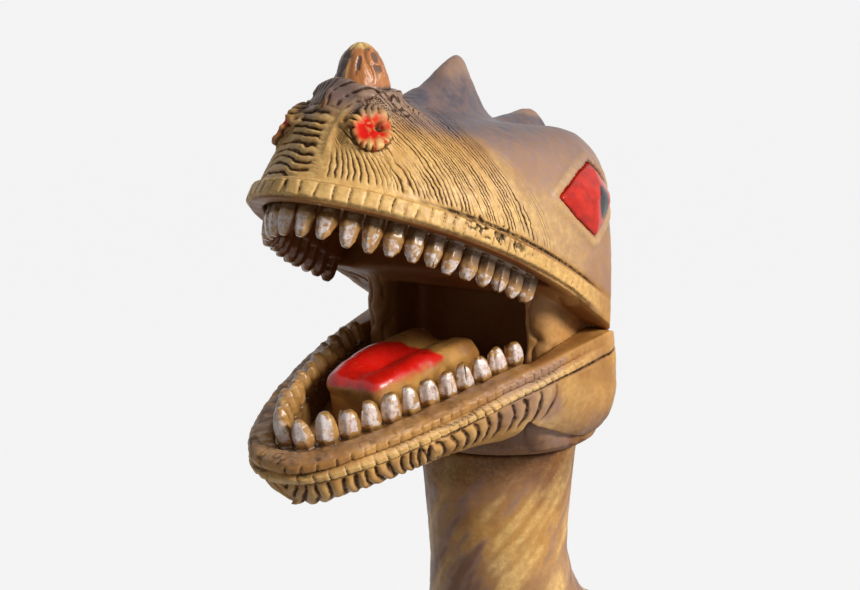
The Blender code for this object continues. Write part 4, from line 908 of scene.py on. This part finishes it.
class DINOSAUR_OT_upper_head(bpy.types.Operator):
    """Sculpts and paints the upper head"""

    bl_idname = "dinosaur.upper_head"
    bl_label = "Upper Head"

    def execute(self, context):
        sculpt = Sculpt("upper_head", "head_skin", sizes().head_grain, 2)
        skin = settle(sculpt, skull_level, SKULL_PITCH, SETTLE_REACH)
        bare = 1 - skin
        x, y, z = (sculpt.points - np.array(HEAD_POINT)).T
        gullet = bare * fade_mm(31, 29, np.abs(x)) * fade_mm(-44, -40, y)
        gullet *= fade_mm(-27, -24, z) * fade_mm(2, -2, y)
        sculpt.smooth(6, bare)
        sculpt.melt(110, np.maximum(gullet, fade_mm(6, 14, y)))
        relief, lines, masks = skull_relief(sculpt.points)
        points = sculpt.points.copy()
        x, y, z = (points - np.array(HEAD_POINT)).T
        aside = np.abs(x)
        inner = bare * fade(-0.5, 0.5, unturned(points, SKULL_PITCH)[2] / LIP_HEIGHT)
        inner *= fade(HEAD_HALF_WIDTH, HEAD_HALF_WIDTH * 0.92, aside)
        inner = np.maximum(inner, gullet) * fade_mm(2, -2, y)
        cheek = bare * fade_mm(21, 25, aside) * fade_mm(-12, -16, y)
        cheek *= fade_mm(14, 8, z) * fade_mm(-52, -40, y)
        folds = creases(x / (6 * MM) + 0.9 * noise(points, 12, 71) + 0.3 * noise(points, 4, 70), 1.6)
        neck = bare * fade_mm(-20, -26, z) * fade_mm(2, -8, y)
        relief = relief * skin + 1.1 * MM * cheek * (layered(points, 7, 72) - 0.9 * folds)
        sculpt.push(relief)
        lines.share *= skin
        lines.paint(sculpt)
        # Painted shade: a dark spot for the hole in the cheek, a darker mouth inside, lighter on the cheeks and
        # most on the near one, and a painted shadow along the head's lower edge under the jaw
        pit_reach = np.linalg.norm(points - np.array(HEAD_POINT) - np.array(CHEEK_PIT), axis=1)
        pit_shade = fade_mm(2.6, 1.4, pit_reach) * bare
        near_cheek, far_cheek = cheek * (x > 0), cheek * (x < 0)
        mouth_shade = inner * (1 - 0.85 * near_cheek - 0.35 * far_cheek) * (0.88 + 0.12 * noise(points, 9, 74))
        under_jaw_shadow = fade_mm(-21, -35, z + 6 * MM * layered(points, 9, 73))
        masks = {name: values * skin for name, values in masks.items()}
        masks["gloom"] = np.maximum(mouth_shade, 0.35 * under_jaw_shadow)
        masks["crease"] = largest(masks["crease"] + 0.45 * cheek * folds, pit_shade, 0.42 * under_jaw_shadow)
        # A wash over the bare inner faces, stronger on the stub under the jaw, as painted shade there
        masks["wash"] += bare * np.maximum(0.15, 0.9 * neck)
        sculpt.paint(**masks)
        sculpt.finish("head", skin_material())
        return {"FINISHED"}


def jaw_relief(points):
    """Heights, engraved lines and masks of the lower jaw's sculpted skin."""
    x, s, n = unturned(points, JAW_PITCH)
    below = jaw_lip_line(s) - n
    height = below / LIP_HEIGHT
    place = around(x, s, LOWER_JAW_LENGTH, LOWER_ROUND)
    tip = fade(0.0, 0.25, s / JAW_LENGTH)
    wobble = unsteady(points, 101)

    # Two rows of nicks along the lip, with a groove between them
    drift = 0.14 * noise(points, 9, 103) + 0.05 * noise(points, 2.5, 106)
    groove = bump(0.52 + drift, 0.06, height) * tip
    edge = bump(1.12 + 0.5 * drift, 0.10, height)
    upper_row = fade(0.05, 0.2, height) * fade(0.50, 0.42, height)
    lower_row = fade(0.55, 0.65, height) * fade(1.08, 0.92, height)
    upper_cut = nicks(place, height * 2, points, 121) * upper_row * 1.1
    cut = np.maximum(upper_cut, nicks(place + 2 * MM, 0.6, points, 131) * lower_row) * tip
    rough_rows = 0.35 * MM * layered(points, 3, 107) * (lower_row + upper_row) * tip
    relief = (LIP_PROUD + 0.3 * MM) * lower_row * tip + 0.5 * MM * upper_row * tip + rough_rows
    relief -= 0.45 * MM * edge + 0.35 * MM * groove + 0.8 * MM * cut

    # Wavy folds on the chin, and bowed loops behind them
    lines = Lines(len(points))
    chin = fade(1.15, 1.35, height)
    front = fade_mm(48, 38, place) * chin
    waves = np.sin(below / (3.1 * MM) + 3 * noise(points, 12, 104))
    depth_share = 0.75 + 0.25 * noise(points, 4, 105)
    lines.add((place + 0.8 * below) / (3.3 * MM) + 1.2 * wobble + 0.40 * waves, front * depth_share)
    bow = ((below - 9.5 * MM) / (5 * MM)) ** 2
    rear_fade = fade_mm(96, 76, place) * fade_mm(18, 14, below)
    loops = (place + 2.2 * MM * bow) / (2.9 * MM + 0.012 * place) + 1.2 * wobble
    lines.add(loops, fade_mm(36, 46, place) * chin * rear_fade * depth_share)
    relief -= sizes().crease_depth * lines.grooves(1.0) * (2.0 + 1.2 * front)
    relief += chin * (0.25 * MM * layered(points, 3, 140) + 0.35 * MM * layered(points, 13, 141))
    relief += 0.7 * MM * chin * fade_mm(70, 50, place) * bump_mm(11, 4, below)

    # The casting's flash line and parting on the near side
    flash_line = bump(1.32 - 0.55 * fade_mm(44, 70, place), 0.05, height) * (x > 0)
    flash_line *= fade_mm(34, 40, place) * fade_mm(84, 74, place)
    parting = bump_mm(39, 0.5, place + 0.4 * MM * np.sin(below / (2 * MM)))
    parting *= (x > 0) * fade(1.1, 1.3, height)
    relief += 0.45 * MM * flash_line - 0.35 * MM * parting

    stains = fade(0.0, 0.5, layered(points, 12, 150)) * fade_mm(50, 75, place)
    under = fade(0.55, 0.9, below / JAW_DEPTH)
    spots = 0.4 * chin * fade(0.3, -0.3, noise(points, 5, 151))
    masks = {
        "crease": largest(0.8 * edge, 0.6 * groove, cut, 0.7 * parting),
        "wash": 0.7 * np.maximum(stains, under),
        "bright": np.maximum(0.75 * lower_row, spots) * tip,
    }
    return relief, lines, masks


class DINOSAUR_OT_lower_jaw(bpy.types.Operator):
    """Sculpts and paints the lower jaw"""

    bl_idname = "dinosaur.lower_jaw"
    bl_label = "Lower Jaw"

    def execute(self, context):
        sculpt = Sculpt("lower_jaw", "jaw_skin", sizes().head_grain, 2)
        skin = settle(sculpt, jaw_level, JAW_PITCH, SETTLE_REACH)
        bare = 1 - skin
        sculpt.smooth(8, bare)
        x, s, n = unturned(sculpt.points, JAW_PITCH)
        sculpt.melt(14, bare * fade(0.10, 0.2, s / JAW_LENGTH) * fade_mm(-0.3, -1.5, n))
        edge = fade_mm(3.6, 1.8, np.abs(n)) * fade(0.12, 0.3, s / JAW_LENGTH)
        sculpt.melt(26, edge)
        sculpt.push(0.45 * MM * edge)
        relief, lines, masks = jaw_relief(sculpt.points)
        points = sculpt.points.copy()
        x, s, n = unturned(points, JAW_PITCH)
        share = s / JAW_LENGTH
        rim = bare * bump(0.0, 2.6 * MM, n) * fade(0.2, 0.5, share)
        inner = bare * fade_mm(-1, -4, n)
        throat = bare * fade(0.40, 0.25, share) * fade(0.93, 0.85, np.abs(x) / HEAD_HALF_WIDTH)
        bumps = 0.7 * layered(points, 4.5, 161) + 0.35 * layered(points, 1.8, 164)
        sculpt.push(relief * skin + MM * rim * bumps)
        lines.share *= skin
        lines.paint(sculpt)
        rim_wash = rim * (0.45 + 0.3 * noise(points, 4, 160))
        cracks = fade(0.16, 0.03, np.abs(layered(points, 5, 162))) * rim
        # Painted shadow under the jaw's rear lobe, in crease paint and the throat's brown
        lobe_shadow = fade_mm(17, 31, jaw_lip_line(s) - n + 5 * MM * layered(points, 9, 163))
        lobe_shadow *= fade(0.45, 0.2, share)
        # The throat's brown over the mouth's rear and half a wash over its inner faces are painted shade
        sculpt.paint(
            crease=np.maximum(masks["crease"] * skin + 0.5 * cracks, 0.42 * lobe_shadow),
            wash=largest(masks["wash"] * skin, rim_wash, inner * 0.5),
            bright=masks["bright"] * skin,
            gloom=np.maximum(throat * 0.5, 0.35 * lobe_shadow),
        )
        sculpt.finish("jaw", skin_material())
        return {"FINISHED"}


def teeth_paint():
    """Ochre teeth with chipped pinkish-white paint on their outer faces, and painted shade at the roots and on
    the upper teeth's inner faces.
    """
    paint = Paint("chipped_teeth")
    c = colours()
    stain = paint.spots((2.5, 4), 0.35, 0.65)
    base = paint.mix(stain, *TOOTH_OCHRES)
    chips = paint.spots((1.6, 5, 0.6), 0.40, 0.58)
    edge = paint.ranged(paint.mask("white"), 0.30, 0.60)
    white = paint.times(edge, paint.most(chips, paint.ranged(paint.mask("white"), 0.8, 1.0)))
    tint = paint.spots((1.4, 3), 0.4, 0.7)
    base = paint.mix(white, base, paint.mix(tint, c.white, TOOTH_PINK))
    speck = paint.spots((0.7, 3, 0.6), 0.60, 0.68)
    base = paint.mix(paint.times(speck, 0.6), base, TOOTH_SPECK)
    base = paint.mix(paint.mask("crease"), base, TOOTH_ROOT_SHADE)
    base = paint.mix(paint.mask("gloom"), base, c.throat)
    fine = paint.noise(0.6, 4, 0.6)
    rough = paint.spots((2, 3), 0.3, 0.7, 0.28, 0.45)
    return paint.surface(base, rough, fine, 0.08 * MM, Coat_Weight=0.3, Coat_Roughness=0.2)


# Each row's node, name and body, its lip's pitch, table and length, and its teeth's way up, pitch, length
# and seed
TOOTH_ROWS = (
    ("upper_teeth", "upper_tooth_row", "head")
    + (SKULL_PITCH, UPPER_ROUND, JAW_LENGTH, -1.0, 5.7 * MM, 8 * MM, 3),
    ("lower_teeth", "lower_tooth_row", "jaw")
    + (JAW_PITCH, LOWER_ROUND, LOWER_JAW_LENGTH, 1.0, 6 * MM, 7.8 * MM, 5),
)


def sculpt_teeth(node, name, body, pitch, outline_round, length, way_up, tooth_pitch, tooth_length, seed):
    """Rounds the row off, swells and tilts each tooth a little, paints the outer faces, and darkens the roots
    and the upper teeth's inner faces as painted shade.
    """
    hanging = way_up < 0
    sculpt = Sculpt(node, name, sizes().small_grain, 4)
    x, s, n = unturned(sculpt.points, pitch)
    place = around(x, s, length, outline_round)
    number = np.floor(place / tooth_pitch) * np.sign(x)
    cells = np.stack([number, np.full(len(x), seed), np.zeros(len(x))], 1)
    out = np.clip(way_up * n / tooth_length, 0, 1)
    swing = [(lattice(cells, seed + k) - 0.5) * 2 for k in range(4)]
    taper = 1 - (1.5 if hanging else 0.6) * out
    sculpt.push((0.35 + 0.15 * swing[3]) * MM * fade(0.0, 0.25, out) * taper)
    sculpt.points += np.stack([swing[0], swing[1], swing[2] * 0.8], 1) * (out**1.5 * 0.8 * MM)[:, None]
    points = sculpt.points.copy()
    sculpt.push(0.14 * MM * layered(points, 1.5, seed))
    normal_x, normal_s, _ = unturned(sculpt.normals() + np.array(HEAD_POINT), pitch)
    heading = np.arctan2(np.abs(x) / HEAD_HALF_WIDTH, np.clip(s / length, 0, None))
    outward = normal_x * np.sign(x) * np.sin(heading) + normal_s * np.cos(heading)
    rag = noise(points, 1.6, seed + 7)
    white = fade(0.30, 0.85, outward + 0.25 * rag) * fade(0.16, 0.34, out + 0.08 * rag)
    sculpt.paint(
        white=white * (0.75 if hanging else 1.0),
        # Painted shade at the roots and over the upper teeth's inner faces
        crease=0.8 * fade(0.28, 0.02, out),
        gloom=0.95 * hanging * fade(0.3, -0.2, outward),
    )
    sculpt.finish(body, bpy.data.materials.get("chipped_teeth") or teeth_paint())


class DINOSAUR_OT_teeth(bpy.types.Operator):
    """Rounds and paints both rows of teeth"""

    bl_idname = "dinosaur.teeth"
    bl_label = "Teeth"

    def execute(self, context):
        for row in TOOTH_ROWS:
            sculpt_teeth(*row)
        return {"FINISHED"}


class DINOSAUR_OT_tongue(bpy.types.Operator):
    """Softens the tongue, paints its top red and darkens its rear as painted shade"""

    bl_idname = "dinosaur.tongue"
    bl_label = "Tongue"

    def execute(self, context):
        sculpt = Sculpt("tongue", "tongue_flesh", sizes().small_grain, 4)
        sculpt.melt(50, np.ones(len(sculpt.points)))
        sculpt.push(np.full(len(sculpt.points), 0.9 * MM))
        points = sculpt.points
        x, s, n = unturned(points, JAW_PITCH)
        share = s / JAW_LENGTH
        saddle = fade(0.64, 0.50, share) * bump(0.0, 3.4 * MM, x) * fade_mm(1, 4, n)
        swelling = bump_mm(-7, 5, x) * fade_mm(2, 5, n)
        relief = 1.2 * swelling - 2.8 * saddle + 0.5 * layered(points, 7, 201) - 0.5 * fade(0.47, 0.38, share)
        sculpt.push(relief * MM)
        upward = unturned(sculpt.normals() + np.array(HEAD_POINT), JAW_PITCH)[2]
        ragged = 0.8 * MM * layered(points, 2.2, 202)
        red = fade_mm(3.0, 3.7, n + 1.6 * ragged + 1.5 * MM * saddle)
        red *= fade(0.15, 0.5, upward + 0.1 * saddle)
        red *= fade(0.385, 0.405, share + 0.015 * noise(points, 3, 203) + 0.06 * saddle)
        # Painted shade over the tongue's rear, deeper in the mouth
        sculpt.paint(red=red, gloom=fade(0.36, 0.24, share) * 0.4)
        paint = Paint("painted_tongue")
        c = colours()
        stain = paint.spots((6, 4), 0.35, 0.65)
        base = paint.mix(stain, c.ochre, c.tan)
        worn = paint.spots((0.8, 4, 0.7), 0.30, 0.42, 0.75, 1.0)
        base = paint.mix(paint.times(paint.mask("red"), worn), base, c.red)
        base = paint.mix(paint.mask("gloom"), base, c.throat)
        rough = paint.spots((3, 3), 0.3, 0.7, 0.26, 0.42)
        fine = paint.noise(0.8, 4)
        material = paint.surface(base, rough, fine, 0.08 * MM, Coat_Weight=0.3, Coat_Roughness=0.2)
        sculpt.finish("jaw", material)
        return {"FINISHED"}


class DINOSAUR_OT_horn(bpy.types.Operator):
    """Shapes and paints the nose horn"""

    bl_idname = "dinosaur.horn"
    bl_label = "Nose Horn"

    def execute(self, context):
        sculpt = Sculpt("nose_horn", "nose_horn_shell", sizes().small_grain, 5)
        points = sculpt.points
        low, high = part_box("nose_horn")
        centre = (low + high) / 2
        base = HEAD_POINT.z + HORN_BASE
        up = (points[:, 2] - base) / (high.z - base)
        angle = np.arctan2(points[:, 0] - centre.x, centre.y - points[:, 1])
        ribs = creases(angle * HORN_RIBS / (2 * math.pi) + 0.4 * noise(points, 5, 301), 2.5)
        ribs *= fade(0.1, 0.4, up)
        ridge = bump(math.radians(4), math.radians(4), angle) * fade(1.0, 0.7, up)
        pits = fade(0.25, 0.5, noise(points, 1.5, 302)) * fade(0.15, 0.5, up)
        relief = 0.30 * ridge - 0.55 * ribs - 0.30 * pits + 0.2 * layered(points, 2.5, 305)
        sculpt.push(relief * MM * fade(-0.02, 0.08, up))
        spots = fade(0.30, 0.55, noise(points, 2.6, 304)) * fade(0.15, 0.4, up)
        turned = np.degrees(angle)
        # Painted shade over the horn's far side
        far = 0.95 * fade(3, -2, turned) * fade(-178, -150, turned)
        dark = largest(pits * 0.9, spots * 0.8, ribs * 0.6 * fade(0.35, 0.8, up), fade(0.12, 0.02, up), far)
        tip = fade(0.84, 0.94, up + 0.07 * noise(points, 3, 303))
        sculpt.paint(dark=dark * (1 - tip * 0.85) * (1 - 0.8 * ridge), tip=np.maximum(tip, 0.45 * ridge))
        paint = Paint("glossy_horn")
        c = colours()
        streak = paint.spots((3, 4, 0.6, 0.3, (1.0, 1.0, 0.3)), 0.35, 0.65)
        base = paint.mix(streak, c.horn, HORN_STREAK)
        base = paint.mix(paint.mask("dark"), base, c.horn_spots_and_shade)
        base = paint.mix(paint.mask("tip"), base, c.horn_tip)
        rough = paint.spots((2, 3), 0.3, 0.7, 0.32, 0.50)
        fine = paint.noise(0.9, 4)
        material = paint.surface(base, rough, fine, 0.14 * MM, Coat_Weight=0.12, Coat_Roughness=0.2)
        sculpt.finish("head", material)
        return {"FINISHED"}


class DINOSAUR_OT_eyes(bpy.types.Operator):
    """Domes and paints both eyes"""

    bl_idname = "dinosaur.eyes"
    bl_label = "Eyes"

    def execute(self, context):
        for side, sign in (("left", 1.0), ("right", -1.0)):
            sculpt = Sculpt("eye_" + side, "eye_shell_" + side, sizes().small_grain, 3)
            points = sculpt.points
            inside = np.clip(-eye_distance(points) / (8 * MM), 0, 1)
            facing = fade(0.5, 0.9, sculpt.normals()[:, 0] * sign)
            sculpt.push(facing * 2.2 * MM * inside**0.6)
            offsets = (at - middle for at, middle in zip(in_eye(points), PUPIL_PLACE))
            reach = np.hypot(*(offset / size for offset, size in zip(offsets, PUPIL_SIZE)))
            sculpt.paint(pupil=fade(1.05, 0.92, reach))
            sculpt.finish("head", bpy.data.materials.get("glossy_eye") or self.eye_paint())
        return {"FINISHED"}

    def eye_paint(self):
        paint = Paint("glossy_eye")
        c = colours()
        depth = paint.spots((4, 3), 0.3, 0.7)
        base = paint.mix(depth, *EYE_REDS)
        base = paint.mix(paint.mask("pupil"), base, c.black)
        rough = paint.spots((3, 2), 0.3, 0.7, 0.10, 0.18)
        paint.feed(paint.shader.inputs["Specular IOR Level"], 0.20)
        return paint.surface(base, rough, paint.noise(2, 2), 0.03 * MM, Coat_Weight=0.25, Coat_Roughness=0.06)


def body_relief(points, along, pitch, folds, seed):
    """Heights and engraved lines of a part: fine broken wrinkles, soft swellings and the given folds."""
    lines = Lines(len(points))
    phase = along / pitch + 0.9 * noise(points, 11, seed) + 0.35 * noise(points, 4, seed + 1)
    lines.add(phase, np.clip(0.35 + 0.6 * noise(points, 6.5, seed + 2), 0.0, 0.60))
    relief = 0.7 * layered(points, 16, seed + 5) - 0.7 * lines.grooves(1.2) - 1.2 * folds
    return sizes().body_crease_depth * relief, lines


def blotches(points, size, seed):
    """Soft patches where the wash is stronger."""
    return fade(-0.15, 0.5, layered(points, size, seed))


class DINOSAUR_OT_torso(bpy.types.Operator):
    """Sculpts and paints the torso and neck"""

    bl_idname = "dinosaur.torso"
    bl_label = "Torso"

    def execute(self, context):
        sculpt = Sculpt("torso", "torso_skin", sizes().body_grain, 10)
        points, normals = sculpt.points, sculpt.normals()
        x, y, z = points.T
        neck = fade(*NECK_RISE, z)
        belly = fade(-0.25, -0.6, normals[:, 1] + 0.35 * normals[:, 2]) * fade_mm(36, 26, np.abs(x))
        belly *= 1 - neck
        folds = creases(z / BELLY_PITCH + 0.12 * noise(points, 12, 401), 2.2) * belly
        round_neck = np.arctan2(x, -y + HEAD_POINT.y + NECK_BACK) * NECK_RADIUS
        slanted = np.stack([(round_neck - z) * 0.9, (round_neck + z) * 0.22, y * 0.1], 1)
        streaks = layered(slanted, 7, 402) * neck
        relief, lines = body_relief(points, z * 0.83 - y * 0.55, TORSO_PITCH, folds, 410)
        seam = fade(*NECK_SEAM, z)
        tail_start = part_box("tail")[0].y
        lap = fade(tail_start - 8 * MM, tail_start + 2 * MM, y)
        relief = relief * seam * (1 - 0.4 * neck) * (1 - lap) - LAP_DEPTH * lap
        lines.share *= seam * (1 - 0.8 * neck)
        lines.paint(sculpt)
        sculpt.push(relief)
        back = fade(0.1, 0.75, normals[:, 2] + 0.45 * normals[:, 1])
        blotch = blotches(points, 18, 420)
        # Painted shadow at the neck's top, under the jaw
        shadow = fade(*THROAT_SHADE, z + 6 * MM * layered(points, 9, 403))
        sculpt.paint(
            crease=np.maximum(0.7 * folds * seam, 0.45 * shadow),
            wash=largest(back * (0.65 + 0.35 * blotch), 0.45 * blotch, fade(0.0, 0.25, streaks)),
            bright=np.maximum(0.75 * fade(-0.05, -0.30, streaks), 0.5 * belly),
            gloom=np.maximum(0.35 * shadow, 0.5 * fade(0.10, 0.32, streaks)),
            slate=fade(0.72, 0.95, back) * 0.6 * fade_mm(14, 5, np.abs(x)),
        )
        sculpt.finish("torso", skin_material())
        return {"FINISHED"}


class DINOSAUR_OT_tail(bpy.types.Operator):
    """Sculpts and paints the tail"""

    bl_idname = "dinosaur.tail"
    bl_label = "Tail"

    def execute(self, context):
        sculpt = Sculpt("tail", "tail_skin", sizes().body_grain, 8)
        points, normals = sculpt.points, sculpt.normals()
        low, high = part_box("tail")
        along = (points[:, 1] - low.y) / (high.y - low.y)
        under = fade(-0.2, -0.7, normals[:, 2])
        folds = creases(points[:, 1] / TAIL_RING_PITCH + 0.15 * noise(points, 12, 451), 2.2)
        folds *= 0.2 + 0.6 * under
        relief, lines = body_relief(points, points[:, 1], TAIL_PITCH, folds, 460)
        lines.paint(sculpt)
        sculpt.push(relief * fade(0.10, 0.16, along) * fade(1.0, 0.9, along))
        back = fade(0.1, 0.8, normals[:, 2])
        blotch = blotches(points, 16, 470)
        sculpt.paint(
            crease=0.7 * folds,
            bright=0.5 * under,
            wash=np.maximum(back * (0.6 + 0.4 * blotch), 0.4 * blotch),
            slate=fade(0.75, 0.98, back) * 0.6,
        )
        sculpt.finish("tail", skin_material())
        return {"FINISHED"}


class DINOSAUR_OT_limbs(bpy.types.Operator):
    """Sculpts and paints the legs and arms"""

    bl_idname = "dinosaur.limbs"
    bl_label = "Limbs"

    def execute(self, context):
        for kind in LIMBS:
            for side in ("left", "right"):
                self.sculpt_limb(kind, side)
        return {"FINISHED"}

    def sculpt_limb(self, kind, side):
        """Dresses one limb. Its relief fades out at the joint's face, at the sole and on the claws."""
        node = kind + "_" + side
        joint, grain, strength, claw_length = LIMBS[kind]
        sculpt = Sculpt(node, node + "_skin", sizes().body_grain * grain, 6)
        points, normals = sculpt.points, sculpt.normals()
        x, y, z = points.T
        out = np.abs(x) - abs(joint_place(joint + "_" + side).x)
        fit = fade_mm(0.6, 2.4, out) * fade_mm(0.5, 2, z)
        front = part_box(node)[0].y
        plain = 1 - fade(front + claw_length, front + claw_length * 0.7, y)
        folds = creases(z / (LIMB_FOLD_PITCH * (0.5 + strength / 2)) + 0.2 * noise(points, 9, 501), 2.2)
        folds *= fade(0.45, 0.1, np.abs(normals[:, 0])) * 0.5
        relief, lines = body_relief(points, z + 0.35 * y, LIMB_PITCH * (0.4 + 0.6 * strength), folds, 510)
        lines.share *= plain
        lines.paint(sculpt)
        sculpt.push(relief * fit * strength * plain)
        wash = np.maximum(0.55 * blotches(points, 14, 520), 0.5 * fade(0.2, 0.8, normals[:, 2]))
        sculpt.paint(crease=0.7 * folds * plain, wash=wash, slate=0.9 * (1 - plain))
        sculpt.finish(node, skin_material())


class DINOSAUR_OT_pins(bpy.types.Operator):
    """Gives the hidden jaw pins their material"""

    bl_idname = "dinosaur.pins"
    bl_label = "Jaw Pins"

    def execute(self, context):
        paint = Paint("moulded_pin")
        base = paint.mix(paint.spots((1.5, 4), 0.35, 0.65), *PIN_GREYS)
        rough = paint.spots((1, 3), 0.3, 0.7, 0.40, 0.58)
        material = paint.surface(base, rough, paint.noise(0.4, 4), 0.05 * MM)
        for side in ("left", "right"):
            node = frame["nodes"]["jaw_pin_" + side]
            node.data.materials.clear()
            node.data.materials.append(material)
        return {"FINISHED"}


class DINOSAUR_OT_stage(bpy.types.Operator):
    """Sets up the floor, the lights and the camera"""

    bl_idname = "dinosaur.stage"
    bl_label = "Stage"

    def execute(self, context):
        context.scene.view_settings.view_transform = "Standard"
        self.make_camera(context)
        self.make_floor(context)
        self.make_world(context)
        for lamp in LAMPS:
            self.make_lamp(context, *lamp)
        return {"FINISHED"}

    def make_camera(self, context):
        away, right, up = view_axes()
        camera = bpy.data.objects.new("camera", bpy.data.cameras.new("camera"))
        camera.data.lens = LENS
        camera.data.sensor_width = SENSOR_WIDTH
        turn = Matrix((right, up, away)).transposed()
        place = HEAD_POINT + away * VIEW_DISTANCE + right * VIEW_SIDE + up * VIEW_LIFT
        camera.matrix_world = Matrix.Translation(place) @ turn.to_4x4()
        camera.data.clip_start = CLIP_START
        context.scene.collection.objects.link(camera)
        context.scene.camera = camera

    def make_lamp(self, context, name, place, size, power, colour):
        away, right, _ = view_axes()
        offset = away * place[0] + right * place[1] + Vector((0, 0, place[2]))
        light = bpy.data.lights.new(name, "AREA")
        light.shape = "DISK"
        light.size, light.energy, light.color = size, power, colour
        lamp = bpy.data.objects.new(name, light)
        lamp.location = HEAD_POINT + offset
        lamp.rotation_euler = (-offset).to_track_quat("-Z", "Y").to_euler()
        context.scene.collection.objects.link(lamp)

    def make_floor(self, context):
        mesh = bpy.data.meshes.new("floor")
        corners = [(x * FLOOR_REACH, y * FLOOR_REACH, 0) for x, y in ((-1, -1), (1, -1), (1, 1), (-1, 1))]
        mesh.from_pydata(corners, [], [(0, 1, 2, 3)])
        floor = bpy.data.objects.new("floor", mesh)
        context.scene.collection.objects.link(floor)
        paint = Paint("pale_floor")
        mesh.materials.append(paint.surface(colours().floor, FLOOR_ROUGHNESS))
        glow = paint.node("ShaderNodeEmission", {"Color": WHITE, "Strength": 1.0})
        share = paint.times(paint.seen(), FLOOR_GLOW)
        mixed = paint.node("ShaderNodeMixShader", {0: share, 1: paint.shader.outputs[0], 2: glow.outputs[0]})
        paint.feed(paint.tree.nodes["Material Output"].inputs["Surface"], mixed.outputs[0])

    def make_world(self, context):
        paint = Paint("studio", bpy.data.worlds, "Background")
        context.scene.world = paint.owner
        paint.feed(paint.shader.inputs["Color"], WHITE)
        strength = paint.ranged(paint.seen(), 0.0, 1.0, WORLD_LIGHT, WORLD_SEEN)
        paint.feed(paint.shader.inputs["Strength"], strength)


def view_axes():
    """The camera's backward, right and up directions."""
    a, e = VIEW_TURN, VIEW_RISE
    away = Vector((math.sin(a) * math.cos(e), -math.cos(a) * math.cos(e), math.sin(e)))
    right = Vector((math.cos(a), math.sin(a), 0.0))
    return away, right, away.cross(right)


PIECE_OPERATORS = (
    DINOSAUR_OT_upper_head,
    DINOSAUR_OT_lower_jaw,
    DINOSAUR_OT_teeth,
    DINOSAUR_OT_tongue,
    DINOSAUR_OT_horn,
    DINOSAUR_OT_eyes,
    DINOSAUR_OT_torso,
    DINOSAUR_OT_tail,
    DINOSAUR_OT_limbs,
    DINOSAUR_OT_pins,
    DINOSAUR_OT_stage,
)


class DINOSAUR_PT_panel(bpy.types.Panel):
    """Lists the figure's pieces, sizes and colours"""

    bl_idname = "DINOSAUR_PT_panel"
    bl_label = "Toy Dinosaur"
    bl_space_type = "VIEW_3D"
    bl_region_type = "UI"
    bl_category = "Dinosaur"

    def draw(self, context):
        column = self.layout.column(align=True)
        for operator in PIECE_OPERATORS:
            column.operator(operator.bl_idname)
        for group in (context.scene.dinosaur_sizes, context.scene.dinosaur_colours):
            box = self.layout.box()
            for name in group.bl_rna.properties.keys():
                if name not in ("rna_type", "name"):
                    box.prop(group, name)


CLASSES = (DinosaurSizes, DinosaurColours, *PIECE_OPERATORS, DINOSAUR_PT_panel)


def register():
    for item in CLASSES:
        bpy.utils.register_class(item)
    bpy.types.Scene.dinosaur_sizes = PointerProperty(type=DinosaurSizes)
    bpy.types.Scene.dinosaur_colours = PointerProperty(type=DinosaurColours)


def unregister():
    del bpy.types.Scene.dinosaur_colours
    del bpy.types.Scene.dinosaur_sizes
    for item in reversed(CLASSES):
        bpy.utils.unregister_class(item)


def call(operator):
    """Runs one of the operators above through bpy.ops."""
    group, name = operator.bl_idname.split(".")
    getattr(getattr(bpy.ops, group), name)()


def main():
    register()
    for operator in PIECE_OPERATORS:
        call(operator)


if __name__ == "__main__":
    main()
